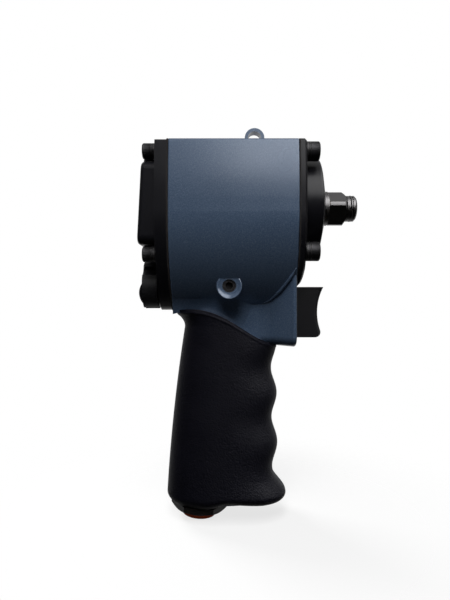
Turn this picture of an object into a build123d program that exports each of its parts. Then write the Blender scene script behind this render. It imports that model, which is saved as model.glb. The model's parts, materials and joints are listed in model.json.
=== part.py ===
from build123d import *
import math
import os

os.makedirs("parts", exist_ok=True)

# Air impact wrench with a 1/2 inch square drive, in millimetres.
# The origin is on the drive axis at the anvil's shoulder, where a socket comes to rest.
# X points forward out of the tool, Z points up and the handle hangs below.

# Fits
slip_clearance = 0.05        # between pieces that are pushed or screwed together
running_clearance = 0.05     # between a shaft and its bush, and in the bearings
moving_gap = 0.3             # between pieces that move past each other
thread_run_out = 1.0         # of a tapped hole past its screw's tip
cut_margin = 5.0             # how far a cut starts outside its piece

# Anvil and its square drive
drive_square = 12.7
drive_corner_diameter = 16.4
drive_square_length = 9.3
drive_edge_chamfer = 0.9
pilot_diameter = 12.4
pilot_length = 4.5
pilot_edge_chamfer = 0.8
retaining_groove_setback = 1.7
retaining_groove_width = 1.6
retaining_groove_depth = 2.4
retaining_ring_wire = 1.3
retaining_ring_proud = 0.15
retaining_ring_slit = 1.5
retaining_o_ring_wire = 1.0
anvil_turn_at_rest = 7.7     # degrees, as the drive stands in use
anvil_collar_diameter = 16.4
anvil_journal_diameter = 18.8
anvil_thrust_diameter = 23.6
anvil_thrust_thickness = 2.6
anvil_core_diameter = 15.6
anvil_jaw_diameter = 22.0
anvil_jaw_half_angle = 28.0

# Front cover
hub_stand_off = 3.0          # from the hub's face to the anvil's shoulder
hub_diameter = 27.0
nose_diameter = 48.0
nose_length = 8.1            # from the flange's face to the rim of the nose
nose_cone_height = 2.7
nose_rim_radius = 1.2
nose_wall = 3.2
front_flange_thickness = 2.8
front_flange_chamfer = 0.9
front_gasket_thickness = 0.6
bush_wall = 2.1
bush_length = 9.4

# Housing
housing_length = 57.0
body_half_width = 28.5
corner_half_width = 27.0
body_top_height = 25.9
body_corner_radius = 1.5
side_round_radius = 50.0     # from the widest place down to the lobe
chin_radius = 38.0
chin_corner_radius = 6.0
barrel_edge_radius = 0.5
motor_bore_diameter = 48.0
hammer_bore_diameter = 46.0
lug_setback = 18.0
lug_radius = 4.75
lug_hole_height = 33.8
lug_hole_diameter = 6.4
lug_thickness = 6.0

# Reverse valve, which lies under the motor
reverse_axis_drop = 38.2
lobe_radius = 11.6
spool_diameter = 12.0
spool_length = 33.0          # from the housing's rear face
air_port_diameter = 4.8
motor_port_spread = 3.0      # of the two ports to the motor, each side of the middle
knob_radius = 10.6
knob_length = 7.0
knob_scallop_radius = 4.2
knob_scallop_depth = 1.3
knob_scallop_angle = 65.0    # from the rib to each scallop
knob_rib_width = 9.4
knob_rib_height = 1.4
knob_rib_angle = -20.0       # degrees from level, on the left hand side
knob_screw_diameter = 3.0
knob_screw_head_diameter = 5.5
knob_screw_head_height = 3.0
knob_screw_length = 12.0
reverse_o_ring_wire = 1.4
reverse_o_ring_setback = 4.0

# Detent in the side boss
boss_setback = 30.4
boss_radius = 5.9
boss_face_reach = 19.4
boss_rim_radius = 1.2
boss_mouth_radius = 3.9
set_screw_diameter = 6.0
set_screw_length = 4.5
set_screw_recess = 1.0
set_screw_socket = 3.4
detent_ball_diameter = 4.0
detent_dimple_depth = 0.3
detent_dimple_step = 40.0
detent_spring_wire = 0.5

# Neck and trigger block
neck_half_width = 8.0
block_half_width = 22.2
block_flare_setback = 12.9
block_flare_radius = 8.0
block_bottom_drop = 66.0
block_side_radius = 4.5
block_front_radius = 1.0

# Trigger
trigger_top_drop = 38.4
trigger_height = 24.0
trigger_half_width = 6.5
trigger_reach = 14.8         # at its top corner, from the block's face
trigger_waist_reach = 11.9
trigger_toe_reach = 13.3
trigger_toe_height = 3.2
trigger_toe_radius = 2.8
trigger_edge_radius = 1.6
trigger_travel = 4.5
trigger_seat_depth = 1.0
trigger_stem_diameter = 4.0
trigger_stem_drop = 50.2
trigger_stem_grip = 6.0
trigger_bush_diameter = 8.0
trigger_bush_length = 6.0
trigger_o_ring_wire = 1.4

# Handle, throttle and inlet, on one leaning axis
handle_bottom_drop = 140.5
handle_lean = 4.5
inlet_setback = 44.4
grip_rear_top_setback = 51.8
grip_rear_top_drop = 57.5
grip_rear_bottom_setback = 60.6
grip_rear_bottom_drop = 137.7
grip_rear_bow = 1.0          # of the back, between its two ends
web_flare = 5.8              # where the back of the rubber reaches its upper edge
grip_front_setback = 8.65
grip_front_slope = 0.0126
finger_pitch = 23.7
finger_depth = 1.3
finger_valley_drop = 77.2
foot_flare = 5.6
foot_flare_height = 13.0
grip_top_half_width = 16.4
grip_half_width_growth = 1.8
grip_roundness = 2.5
grip_wall = 3.4
edge_crest_drop = 0.3        # from the underside of the lobe to the rubber's edge
edge_web_drop = 1.1
edge_shoulder_setback = 32.4
edge_shoulder_drop = 3.8
edge_slope_rise = 5.2
edge_slope_setback = 20.4
edge_end_setback = 7.0
edge_margin = 20.0           # how far the trimming regions reach past the tool
oval_points = 20
levels_per_finger = 5
grip_rim_levels = 3
grip_bottom_inset = 2.6
grip_bottom_height = 4.0
core_front_setback = 12.9
core_recess = 1.2
bore_below_seat_diameter = 17.0
bore_above_seat_diameter = 12.6
bore_height = 94.0
seat_height = 58.0
seat_thickness = 4.0
seat_hole_diameter = 9.0
valve_head_diameter = 12.0
valve_head_thickness = 3.0
valve_stem_diameter = 2.5
valve_stem_above_trigger = 2.5
throttle_spring_diameter = 11.0
throttle_spring_wire = 0.9
inlet_hex = 24.0
inlet_hex_gap = 1.3          # under the handle, for the seal
inlet_hex_height = 2.2
inlet_cone_height = 2.8
inlet_ring_diameter = 15.8
inlet_ring_height = 1.4
inlet_ring_wall = 2.0
inlet_thread_diameter = 19.0
inlet_thread_length = 13.0
inlet_bore_diameter = 11.4   # tapping size of a 1/4 inch pipe thread
inlet_o_ring_wire = 1.2
screen_diameter = 12.0
screen_wall = 0.8
screen_height = 8.0
screen_slot = 1.2
screen_slot_count = 4
exhaust_offset = 17.0
exhaust_width = 18.0
exhaust_depth = 9.0
exhaust_height = 57.0
exhaust_corner_radius = 3.0
muffler_height = 18.0
muffler_slot_width = 1.6
muffler_slot_length = 5.4
muffler_slot_pitch = 4.8
muffler_slot_count = 3

# Rear cover
rear_gasket_thickness = 0.8
rear_flange_thickness = 5.2
rear_cover_inset = 0.4       # of its outline, inside the housing's
cap_half_width = 24.0
cap_top_height = 17.2
cap_bottom_drop = 20.0
cap_reach = 6.5              # at its top, from the flange's face
cap_slant = 1.9              # more at its bottom
cap_corner_radius = 4.0
cap_edge_radius = 1.6
cap_wall = 3.0
knob_seat_height = 1.0

# Screws and washers
front_bolt_spread = 21.5
front_bolt_upper_height = 21.5
front_bolt_lower_drop = 23.0
front_bolt_diameter = 5.0
front_bolt_head_diameter = 8.6
front_bolt_head_height = 4.2
front_bolt_socket = 4.0
front_bolt_grip = 12.0       # thread in the housing
rear_bolt_spread = 20.6
rear_bolt_upper_height = 21.8
rear_bolt_lower_drop = 24.2
rear_bolt_diameter = 4.0
rear_bolt_head_diameter = 7.0
rear_bolt_head_height = 4.0
rear_bolt_socket = 3.0
rear_bolt_grip = 12.0
bolt_edge_chamfer = 0.4
lock_washer_thickness = 1.2
lock_washer_slit = 0.8
flat_washer_thickness = 0.8
socket_depth_share = 0.6
hole_allowance = 0.5         # a clearance hole's diameter over its screw's

# Air motor and hammer
end_plate_thickness = 8.0
liner_bore_diameter = 37.2
liner_offset = 1.3
rotor_diameter = 34.0
shaft_diameter = 10.0
rotor_drive_square = 7.0
rotor_drive_length = 3.0
vane_count = 6
vane_thickness = 2.7
vane_root_radius = 8.8
vane_setback = 0.3
liner_port_diameter = 5.0
liner_port_count = 3
liner_port_pitch = 6.5
dowel_diameter = 2.5
dowel_length = 12.0
bearing_diameter = 22.0
bearing_width = 6.0
bearing_ring_wall = 1.7
bearing_ball_diameter = 3.2
bearing_ball_count = 7
cage_diameter = 45.0
cage_plate_thickness = 3.0
cage_bridge_wall = 2.0
cage_bridge_half_angle = 24.0
cage_mouth_diameter = 25.6
hammer_diameter = 38.4
hammer_bore = 25.0
hammer_lug_diameter = 19.0
hammer_lug_half_angle = 24.0
hammer_pin_diameter = 5.0
hammer_pin_radius = 17.0
hammer_swing = 6.0
hammer_space = 19.5          # from the housing's front face to the front end plate

# Stations along the drive axis, from front to rear
hub_face_x = -hub_stand_off
nose_rim_x = hub_face_x - nose_cone_height
flange_front_x = nose_rim_x - nose_length
flange_rear_x = flange_front_x - front_flange_thickness
housing_front_x = flange_rear_x - front_gasket_thickness
housing_rear_x = housing_front_x - housing_length
cover_seat_x = housing_rear_x - rear_gasket_thickness
cover_rear_x = cover_seat_x - rear_flange_thickness
rear_plate_front_x = housing_rear_x + end_plate_thickness
front_plate_front_x = housing_front_x - hammer_space
front_plate_rear_x = front_plate_front_x - end_plate_thickness
reverse_z = -reverse_axis_drop
handle_bottom_z = -handle_bottom_drop
block_bottom_z = -block_bottom_drop
crest_z = reverse_z - lobe_radius - edge_crest_drop
side_round_y = body_half_width - side_round_radius
side_round_z = reverse_z + math.sqrt((side_round_radius - lobe_radius) ** 2 - side_round_y**2)


def behind_front(setback):
    return housing_front_x - setback


# The handle's bore leans, so its pieces are drawn on planes square to this axis.
lean = math.radians(handle_lean)
handle_plane = Plane(
    origin=(behind_front(inlet_setback), 0, handle_bottom_z),
    x_dir=(math.cos(lean), 0, -math.sin(lean)),
    z_dir=(math.sin(lean), 0, math.cos(lean)),
)
handle_axis = Axis(handle_plane.origin, handle_plane.z_dir)
handle_side_plane = Plane(origin=handle_plane.origin, x_dir=handle_plane.x_dir, z_dir=(0, -1, 0))


def rod(x_from, x_to, radius, y=0, z=0, mode=Mode.ADD):
    # A cylinder along the drive axis
    with BuildSketch(Plane.YZ.offset(x_from)) as disc:
        with Locations((y, z)):
            Circle(radius)
    extrude(disc.sketch, amount=x_to - x_from, mode=mode)


def handle_rod(up_from, up_to, radius, mode=Mode.ADD):
    # A cylinder along the handle's bore
    with BuildSketch(handle_plane.offset(up_from)) as disc:
        Circle(radius)
    extrude(disc.sketch, amount=up_to - up_from, mode=mode)


def handle_turning(*outline, mode=Mode.ADD):
    # A solid turned round the handle's bore from points given as (radius, height)
    with BuildSketch(handle_side_plane) as section:
        with BuildLine():
            Polyline(*outline, close=True)
        make_face()
    revolve(section.sketch, axis=handle_axis, mode=mode)


def side_rod(y_from, y_to, radius, x, z, mode=Mode.ADD):
    # A cylinder across the tool
    plane = Plane(origin=(x, y_from, z), x_dir=(1, 0, 0), z_dir=(0, 1, 0))
    with BuildSketch(plane) as disc:
        Circle(radius)
    extrude(disc.sketch, amount=y_to - y_from, mode=mode)


def turned_ring(x_middle, ring_radius, wire_diameter, z=0):
    # An O-ring or wire ring round an axis that runs forward
    with BuildSketch(Plane.XZ) as wire:
        with Locations((x_middle, z + ring_radius)):
            Circle(wire_diameter / 2)
    revolve(wire.sketch, axis=Axis((0, 0, z), (1, 0, 0)))


def rear_outline(plane, inset=0):
    # The barrel from the front: flat top, bowed sides, and large rounds that run into the lobe
    turn = math.degrees(math.atan2(side_round_z - reverse_z, -side_round_y))
    with BuildSketch(plane) as outline:
        with BuildLine():
            Line((-corner_half_width, body_top_height), (corner_half_width, body_top_height))
            lobe_ends = []
            for side in (-1, 1):
                widest = (side * body_half_width, 0)
                round_start = (side * body_half_width, side_round_z)
                TangentArc(widest, (side * corner_half_width, body_top_height), tangent=(0, 1))
                Line(widest, round_start)
                side_round = JernArc(round_start, (0, -1), side_round_radius, -side * turn)
                lobe_ends.append(side_round @ 1)
            ThreePointArc(lobe_ends[0], (0, reverse_z - lobe_radius), lobe_ends[1])
        make_face()
        fillet(outline.vertices().group_by(Axis.Y)[-1], body_corner_radius)
        if inset:
            offset(amount=-inset, mode=Mode.REPLACE)
    return outline.sketch


def body_outline(plane):
    # The same without the lobe: the front flange ends in a round chin
    with BuildSketch() as above_chin:
        Circle(chin_radius)
        Rectangle(2 * body_half_width, body_top_height, align=(Align.CENTER, Align.MIN))
    with BuildSketch(plane) as outline:
        add(rear_outline(Plane.XY))
        add(above_chin.sketch, mode=Mode.INTERSECT)
        fillet(outline.vertices().group_by(Axis.Y)[0], chin_corner_radius)
    return outline.sketch


def grip_edge_line(drop):
    # The upper edge of the rubber, from the web of the hand down to the trigger block
    top_z = crest_z - drop
    foot_z = block_bottom_z - drop
    return Spline(
        (housing_rear_x, top_z - edge_web_drop),
        (behind_front(inlet_setback), top_z),
        (behind_front(edge_shoulder_setback), top_z - edge_shoulder_drop),
        (behind_front(edge_slope_setback), foot_z + edge_slope_rise),
        (behind_front(edge_end_setback), foot_z),
    )


def side_of_grip_edge(depth, drop=0):
    # The region above (depth > 0) or below (depth < 0) the upper edge of the rubber
    with BuildSketch(Plane.XZ) as region:
        with BuildLine():
            edge = grip_edge_line(drop)
            rear = edge @ 0
            front = edge @ 1
            Polyline(
                front,
                (behind_front(-edge_margin), front.Y),
                (behind_front(-edge_margin), front.Y + depth),
                (housing_rear_x - edge_margin, front.Y + depth),
                (housing_rear_x - edge_margin, rear.Y),
                rear,
            )
        make_face()
    return region.sketch


def oval(height, rear_x, front_x, half_width):
    # One level cut through the handle: an oval with flattened sides
    power = 2 / grip_roundness
    middle = (rear_x + front_x) / 2
    half_length = (front_x - rear_x) / 2
    points = []
    for step in range(oval_points):
        turn = 2 * math.pi * step / oval_points
        along = math.copysign(abs(math.cos(turn)) ** power, math.cos(turn))
        across = math.copysign(abs(math.sin(turn)) ** power, math.sin(turn))
        points.append((middle + half_length * along, half_width * across))
    with BuildSketch(Plane.XY.offset(height)) as section:
        with BuildLine():
            Spline(*points, periodic=True)
        make_face()
    return section.sketch


def grip_rear(height):
    # The back of the grip: a slight bow, with a flare under the web of the hand
    share = (-height - grip_rear_top_drop) / (grip_rear_bottom_drop - grip_rear_top_drop)
    setback = grip_rear_top_setback + share * (grip_rear_bottom_setback - grip_rear_top_setback)
    setback += 4 * grip_rear_bow * max(0, share * (1 - share))
    flare = max(0, (height + grip_rear_top_drop) / (crest_z + grip_rear_top_drop))
    return behind_front(setback + web_flare * flare**2)


def grip_front(height):
    # The front of the grip: a gentle wave for the fingers and a flared foot
    drop = -height - finger_valley_drop
    wave = finger_depth * math.cos(2 * math.pi * drop / finger_pitch)
    foot = max(0, (foot_flare_height - (height - handle_bottom_z)) / foot_flare_height)
    flare = foot_flare * foot**2 * (2 - foot)
    return behind_front(grip_front_setback + wave - grip_front_slope * drop - flare)


def grip_half_width(height):
    share = (-height - grip_rear_top_drop) / (handle_bottom_drop - grip_rear_top_drop)
    return grip_top_half_width + grip_half_width_growth * max(0, share)


def grip_levels():
    # Levels from the foot to the top, close enough to follow the finger wave
    lowest = handle_bottom_z + grip_bottom_height
    highest = reverse_z - lobe_radius + grip_wall
    count = math.ceil((highest - lowest) / (finger_pitch / levels_per_finger))
    return [lowest + (highest - lowest) * step / count for step in range(count + 1)]


def grip_body():
    # The rubber's outside, with a rounded lower rim
    sections = []
    for step in range(grip_rim_levels):
        share = step / grip_rim_levels
        height = handle_bottom_z + grip_bottom_height * share
        inset = grip_bottom_inset * (1 - share) ** 2
        rear = grip_rear(height) + inset
        front = grip_front(height) - inset
        sections.append(oval(height, rear, front, grip_half_width(height) - inset))
    for height in grip_levels():
        sections.append(oval(height, grip_rear(height), grip_front(height), grip_half_width(height)))
    loft(sections)


def handle_core(grow, mode):
    # The cast handle inside the rubber, with a straight front
    bottom_z = handle_bottom_z - grip_bottom_height
    top_z = reverse_z - lobe_radius + grip_wall
    middle_z = -grip_rear_top_drop
    sections = []
    for height in (bottom_z, middle_z, top_z):
        rear = behind_front(grip_rear_top_setback) + grip_wall
        if height < middle_z:
            rear = grip_rear(height) + grip_wall + grip_bottom_inset / 2
        front = behind_front(core_front_setback)
        half_width = grip_half_width(height) - grip_wall
        sections.append(oval(height, rear - grow, front + grow, half_width + grow))
    loft(sections, ruled=True, mode=mode)


front_bolt_places = [
    (side * front_bolt_spread, height)
    for side in (-1, 1)
    for height in (front_bolt_upper_height, -front_bolt_lower_drop)
]
rear_bolt_places = [
    (side * rear_bolt_spread, height)
    for side in (-1, 1)
    for height in (rear_bolt_upper_height, -rear_bolt_lower_drop)
]


def bolt_holes(x_from, x_to, places, diameter):
    with BuildSketch(Plane.YZ.offset(x_from)) as holes:
        with Locations(*places):
            Circle(diameter / 2)
    extrude(holes.sketch, amount=x_to - x_from, mode=Mode.SUBTRACT)


def socket_screws(seat_x, outward, places, diameter, head_diameter, head_height, socket, shank_length):
    # Cap screws with a hexagon socket, their heads outward of the seat
    with BuildSketch(Plane.YZ.offset(seat_x)) as heads:
        with Locations(*places):
            Circle(head_diameter / 2)
    extrude(heads.sketch, amount=outward * head_height)
    builder = BuildPart._get_context()
    rims = builder.edges().group_by(Axis.X)
    chamfer(rims[-1] if outward > 0 else rims[0], bolt_edge_chamfer)
    with BuildSketch(Plane.YZ.offset(seat_x)) as shanks:
        with Locations(*places):
            Circle(diameter / 2)
    extrude(shanks.sketch, amount=-outward * shank_length)
    with BuildSketch(Plane.YZ.offset(seat_x + outward * head_height)) as sockets:
        with Locations(*places):
            RegularPolygon(socket / 2, 6, major_radius=False)
    extrude(sockets.sketch, amount=-outward * head_height * socket_depth_share, mode=Mode.SUBTRACT)


def washers(seat_x, outward, places, screw_diameter, head_diameter, thickness, slit=0):
    # Plain washers, or split ones where a slit is given
    with BuildSketch(Plane.YZ.offset(seat_x)) as rings:
        with Locations(*places):
            Circle(head_diameter / 2)
            Circle((screw_diameter + hole_allowance) / 2, mode=Mode.SUBTRACT)
        if slit:
            with Locations(*[(y, z + head_diameter / 4) for y, z in places]):
                Rectangle(slit, head_diameter / 2, mode=Mode.SUBTRACT)
    extrude(rings.sketch, amount=outward * thickness)


def bearing_ring(x_from, inner_radius, outer_radius):
    # One ring of a ball bearing, with the groove that its balls run in
    pitch_radius = (bearing_diameter + shaft_diameter) / 4
    with BuildSketch(Plane.XZ) as section:
        with Locations((x_from + bearing_width / 2, (inner_radius + outer_radius) / 2)):
            Rectangle(bearing_width, outer_radius - inner_radius)
        with Locations((x_from + bearing_width / 2, pitch_radius)):
            Circle(bearing_ball_diameter / 2, mode=Mode.SUBTRACT)
    revolve(section.sketch, axis=Axis.X)


def bearing_balls(x_from):
    pitch_radius = (bearing_diameter + shaft_diameter) / 4
    for step in range(bearing_ball_count):
        turn = 2 * math.pi * step / bearing_ball_count
        place = (x_from + bearing_width / 2, pitch_radius * math.cos(turn), pitch_radius * math.sin(turn))
        with Locations(place):
            Sphere(bearing_ball_diameter / 2 - running_clearance)


def sector(plane, radius, middle_angle, half_angle):
    # A slice of a disc, to keep or cut part of a ring
    first = math.radians(middle_angle - half_angle)
    last = math.radians(middle_angle + half_angle)
    middle = math.radians(middle_angle)
    with BuildSketch(plane) as slice_of_disc:
        with BuildLine():
            Line((0, 0), (radius * math.cos(first), radius * math.sin(first)))
            ThreePointArc(
                (radius * math.cos(first), radius * math.sin(first)),
                (radius * math.cos(middle), radius * math.sin(middle)),
                (radius * math.cos(last), radius * math.sin(last)),
            )
            Line((radius * math.cos(last), radius * math.sin(last)), (0, 0))
        make_face()
    return slice_of_disc.sketch


# The neck and the trigger block, trimmed along the upper edge of the rubber
with BuildPart() as neck_block:
    with BuildSketch(Plane.XY.offset(block_bottom_z)) as neck_plan:
        flare_x = behind_front(block_flare_setback)
        with BuildLine():
            Polyline(
                (housing_rear_x, -neck_half_width),
                (flare_x, -neck_half_width),
                (housing_front_x, -block_half_width),
                (housing_front_x, block_half_width),
                (flare_x, neck_half_width),
                (housing_rear_x, neck_half_width),
                close=True,
            )
        make_face()
        fillet(neck_plan.vertices().sort_by(Axis.X)[2:4], block_flare_radius)
    extrude(amount=block_bottom_drop + side_round_z)
    flares = neck_block.faces().sort_by(Axis.Z)[0].edges().filter_by(GeomType.CIRCLE)
    fillet(flares, block_side_radius)
    front_edges = neck_block.faces().sort_by(Axis.X)[-1].edges().sort_by(Axis.Z)
    fillet(front_edges[:-1], block_front_radius)
    extrude(side_of_grip_edge(-edge_margin), amount=body_half_width, both=True, mode=Mode.SUBTRACT)

# The barrel with its two end rims eased
with BuildPart() as barrel:
    extrude(rear_outline(Plane.YZ.offset(housing_rear_x)), amount=housing_length)
    fillet(barrel.faces().filter_by(Axis.X).edges(), barrel_edge_radius)

# The round boss over the detent
boss_x = behind_front(boss_setback)
with BuildPart() as boss:
    side_rod(-boss_face_reach, 0, boss_radius, boss_x, reverse_z)
    fillet(boss.faces().sort_by(Axis.Y)[0].edges(), boss_rim_radius)

# Cast housing: barrel, lobe, neck, trigger block and the handle's core in one piece
lug_x = behind_front(lug_setback)
pocket_depth = trigger_seat_depth + trigger_travel + moving_gap
pocket_floor_x = behind_front(pocket_depth)
trigger_middle_z = -trigger_top_drop - trigger_height / 2
bore_top_z = handle_bottom_z + bore_height * math.cos(lean)
bore_top_x = behind_front(inlet_setback) + bore_height * math.sin(lean)
stem_up = (handle_bottom_drop - trigger_stem_drop) / math.cos(lean)
valve_stem_x = behind_front(inlet_setback) + stem_up * math.sin(lean)
stem_tip_x = valve_stem_x + valve_stem_diameter / 2 / math.cos(lean) + moving_gap
ball_centre_y = spool_diameter / 2 + running_clearance + detent_ball_diameter / 2
screw_inner_y = boss_face_reach - set_screw_recess - set_screw_length
with BuildPart() as motor_housing:
    handle_core(0, Mode.ADD)
    split(bisect_by=Plane.XY.offset(handle_bottom_z + core_recess), keep=Keep.TOP)
    extrude(side_of_grip_edge(edge_margin * 2), amount=body_half_width, both=True, mode=Mode.SUBTRACT)
    add(neck_block.part)
    add(barrel.part)
    add(boss.part)
    with BuildSketch(Plane.XZ):
        with Locations((lug_x, lug_hole_height)):
            Circle(lug_radius)
        with Locations((lug_x, lug_hole_height / 2 + body_top_height / 2 - lug_radius / 2)):
            Rectangle(2 * lug_radius, lug_hole_height - body_top_height + lug_radius)
        with Locations((lug_x, lug_hole_height)):
            Circle(lug_hole_diameter / 2, mode=Mode.SUBTRACT)
    extrude(amount=lug_thickness / 2, both=True)
    rod(housing_rear_x, front_plate_front_x, motor_bore_diameter / 2, mode=Mode.SUBTRACT)
    rod(front_plate_front_x, housing_front_x, hammer_bore_diameter / 2, mode=Mode.SUBTRACT)
    spool_bore = spool_diameter / 2 + running_clearance
    spool_front_x = housing_rear_x + spool_length
    rod(housing_rear_x, spool_front_x + moving_gap, spool_bore, z=reverse_z, mode=Mode.SUBTRACT)
    bolt_holes(
        housing_front_x,
        behind_front(front_bolt_grip + thread_run_out),
        front_bolt_places,
        front_bolt_diameter + 2 * slip_clearance,
    )
    bolt_holes(
        housing_rear_x,
        housing_rear_x + rear_bolt_grip + thread_run_out,
        rear_bolt_places,
        rear_bolt_diameter + 2 * slip_clearance,
    )
    # Trigger pocket, the stem's way to the throttle and the bush in its floor
    with BuildSketch(Plane.YZ.offset(housing_front_x)):
        with Locations((0, trigger_middle_z)):
            Rectangle(2 * (trigger_half_width + moving_gap), trigger_height + 2 * moving_gap)
    extrude(amount=-pocket_depth, mode=Mode.SUBTRACT)
    bush_rear_x = pocket_floor_x - trigger_bush_length
    o_ring_rear_x = bush_rear_x - trigger_o_ring_wire - 2 * slip_clearance
    stem_hole = trigger_stem_diameter / 2 + moving_gap
    bush_hole = trigger_bush_diameter / 2 + slip_clearance
    rod(pocket_floor_x, valve_stem_x, stem_hole, z=-trigger_stem_drop, mode=Mode.SUBTRACT)
    rod(pocket_floor_x, o_ring_rear_x, bush_hole, z=-trigger_stem_drop, mode=Mode.SUBTRACT)
    # Air way up the handle, the seat's shoulder and the thread for the inlet
    seat_top = seat_height + seat_thickness
    thread_top = inlet_thread_length + thread_run_out
    handle_rod(-cut_margin, thread_top, inlet_thread_diameter / 2 + slip_clearance, Mode.SUBTRACT)
    handle_rod(0, seat_top, bore_below_seat_diameter / 2 + slip_clearance, Mode.SUBTRACT)
    handle_rod(seat_top, bore_height, bore_above_seat_diameter / 2, Mode.SUBTRACT)
    with BuildSketch(handle_plane.offset(-cut_margin)):
        with Locations((exhaust_offset, 0)):
            RectangleRounded(exhaust_depth, exhaust_width, exhaust_corner_radius)
    extrude(amount=cut_margin + exhaust_height, mode=Mode.SUBTRACT)
    # Port from the handle to the reverse valve, and two from the valve to the motor
    port_radius = air_port_diameter / 2
    with Locations((bore_top_x, 0, (bore_top_z + reverse_z) / 2)):
        Cylinder(port_radius, reverse_z - bore_top_z, mode=Mode.SUBTRACT)
    for side in (-1, 1):
        with Locations((bore_top_x, side * motor_port_spread, reverse_z / 2)):
            Cylinder(port_radius, reverse_axis_drop, mode=Mode.SUBTRACT)
    # Hole for the detent: a thread for the set screw, then a way for the spring and ball
    side_rod(
        -boss_face_reach,
        -screw_inner_y,
        set_screw_diameter / 2 + slip_clearance,
        boss_x,
        reverse_z,
        Mode.SUBTRACT,
    )
    side_rod(-screw_inner_y, 0, detent_ball_diameter / 2 + slip_clearance, boss_x, reverse_z, Mode.SUBTRACT)
    mouth_plane = Plane(origin=(boss_x, -boss_face_reach, reverse_z), x_dir=(1, 0, 0), z_dir=(0, 1, 0))
    with BuildSketch(mouth_plane):
        Circle(boss_mouth_radius)
    with BuildSketch(mouth_plane.offset(set_screw_recess)):
        Circle(set_screw_diameter / 2 + slip_clearance)
    loft(mode=Mode.SUBTRACT)
motor_housing.part.label = "motor_housing"
export_step(motor_housing.part, "parts/motor_housing.step")

# Rubber grip, a sleeve over the handle's core
with BuildPart() as rubber_grip:
    grip_body()
    handle_core(slip_clearance, Mode.SUBTRACT)
    above_edge = side_of_grip_edge(edge_margin * 2, slip_clearance)
    extrude(above_edge, amount=body_half_width, both=True, mode=Mode.SUBTRACT)
rubber_grip.part.label = "rubber_grip"
export_step(rubber_grip.part, "parts/rubber_grip.step")

# Front cover: flange, nose and hub in one casting
journal_hole = anvil_journal_diameter / 2 + running_clearance
bush_radius = journal_hole + bush_wall
bush_rear_end_x = hub_face_x - bush_length
hub_radius = hub_diameter / 2
nose_radius = nose_diameter / 2
with BuildPart() as front_cover:
    extrude(body_outline(Plane.YZ.offset(flange_rear_x)), amount=front_flange_thickness)
    chamfer(front_cover.faces().sort_by(Axis.X)[-1].edges(), front_flange_chamfer)
    with BuildSketch(Plane.XZ):
        with BuildLine():
            Polyline(
                (flange_rear_x, 0),
                (flange_rear_x, nose_radius),
                (nose_rim_x, nose_radius),
                (hub_face_x, hub_radius),
                (hub_face_x, 0),
                close=True,
            )
        make_face()
    revolve(axis=Axis.X)
    rims = front_cover.edges().filter_by(GeomType.CIRCLE).filter_by_position(Axis.X, nose_rim_x, hub_face_x)
    fillet(rims, nose_rim_radius)
    cavity_front_x = nose_rim_x - nose_wall
    with BuildSketch(Plane.XZ):
        with BuildLine():
            Polyline(
                (flange_rear_x, 0),
                (flange_rear_x, nose_radius - nose_wall),
                (cavity_front_x, nose_radius - nose_wall),
                (cavity_front_x, hub_radius),
                (bush_rear_end_x, hub_radius),
                (bush_rear_end_x, 0),
                close=True,
            )
        make_face()
    revolve(axis=Axis.X, mode=Mode.SUBTRACT)
    rod(bush_rear_end_x, hub_face_x, bush_radius + slip_clearance, mode=Mode.SUBTRACT)
    bolt_holes(flange_rear_x, flange_front_x, front_bolt_places, front_bolt_diameter + hole_allowance)
front_cover.part.label = "front_cover"
export_step(front_cover.part, "parts/front_cover.step")

with BuildPart() as front_gasket:
    extrude(body_outline(Plane.YZ.offset(housing_front_x)), amount=front_gasket_thickness)
    rod(housing_front_x, flange_rear_x, hammer_bore_diameter / 2, mode=Mode.SUBTRACT)
    bolt_holes(housing_front_x, flange_rear_x, front_bolt_places, front_bolt_diameter + hole_allowance)
front_gasket.part.label = "front_gasket"
export_step(front_gasket.part, "parts/front_gasket.step")

front_lock_x = flange_front_x + flat_washer_thickness
front_head_x = front_lock_x + lock_washer_thickness
with BuildPart() as front_flat_washers:
    washers(
        flange_front_x,
        1,
        front_bolt_places,
        front_bolt_diameter,
        front_bolt_head_diameter,
        flat_washer_thickness,
    )
front_flat_washers.part.label = "front_flat_washers"
export_step(front_flat_washers.part, "parts/front_flat_washers.step")

with BuildPart() as front_lock_washers:
    washers(
        front_lock_x,
        1,
        front_bolt_places,
        front_bolt_diameter,
        front_bolt_head_diameter,
        lock_washer_thickness,
        lock_washer_slit,
    )
front_lock_washers.part.label = "front_lock_washers"
export_step(front_lock_washers.part, "parts/front_lock_washers.step")

with BuildPart() as front_bolts:
    socket_screws(
        front_head_x,
        1,
        front_bolt_places,
        front_bolt_diameter,
        front_bolt_head_diameter,
        front_bolt_head_height,
        front_bolt_socket,
        front_head_x - behind_front(front_bolt_grip),
    )
front_bolts.part.label = "front_bolts"
export_step(front_bolts.part, "parts/front_bolts.step")

with BuildPart() as anvil_bush:
    rod(bush_rear_end_x, hub_face_x, bush_radius)
    rod(bush_rear_end_x, hub_face_x, journal_hole, mode=Mode.SUBTRACT)
anvil_bush.part.label = "anvil_bush"
export_step(anvil_bush.part, "parts/anvil_bush.step")

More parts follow.
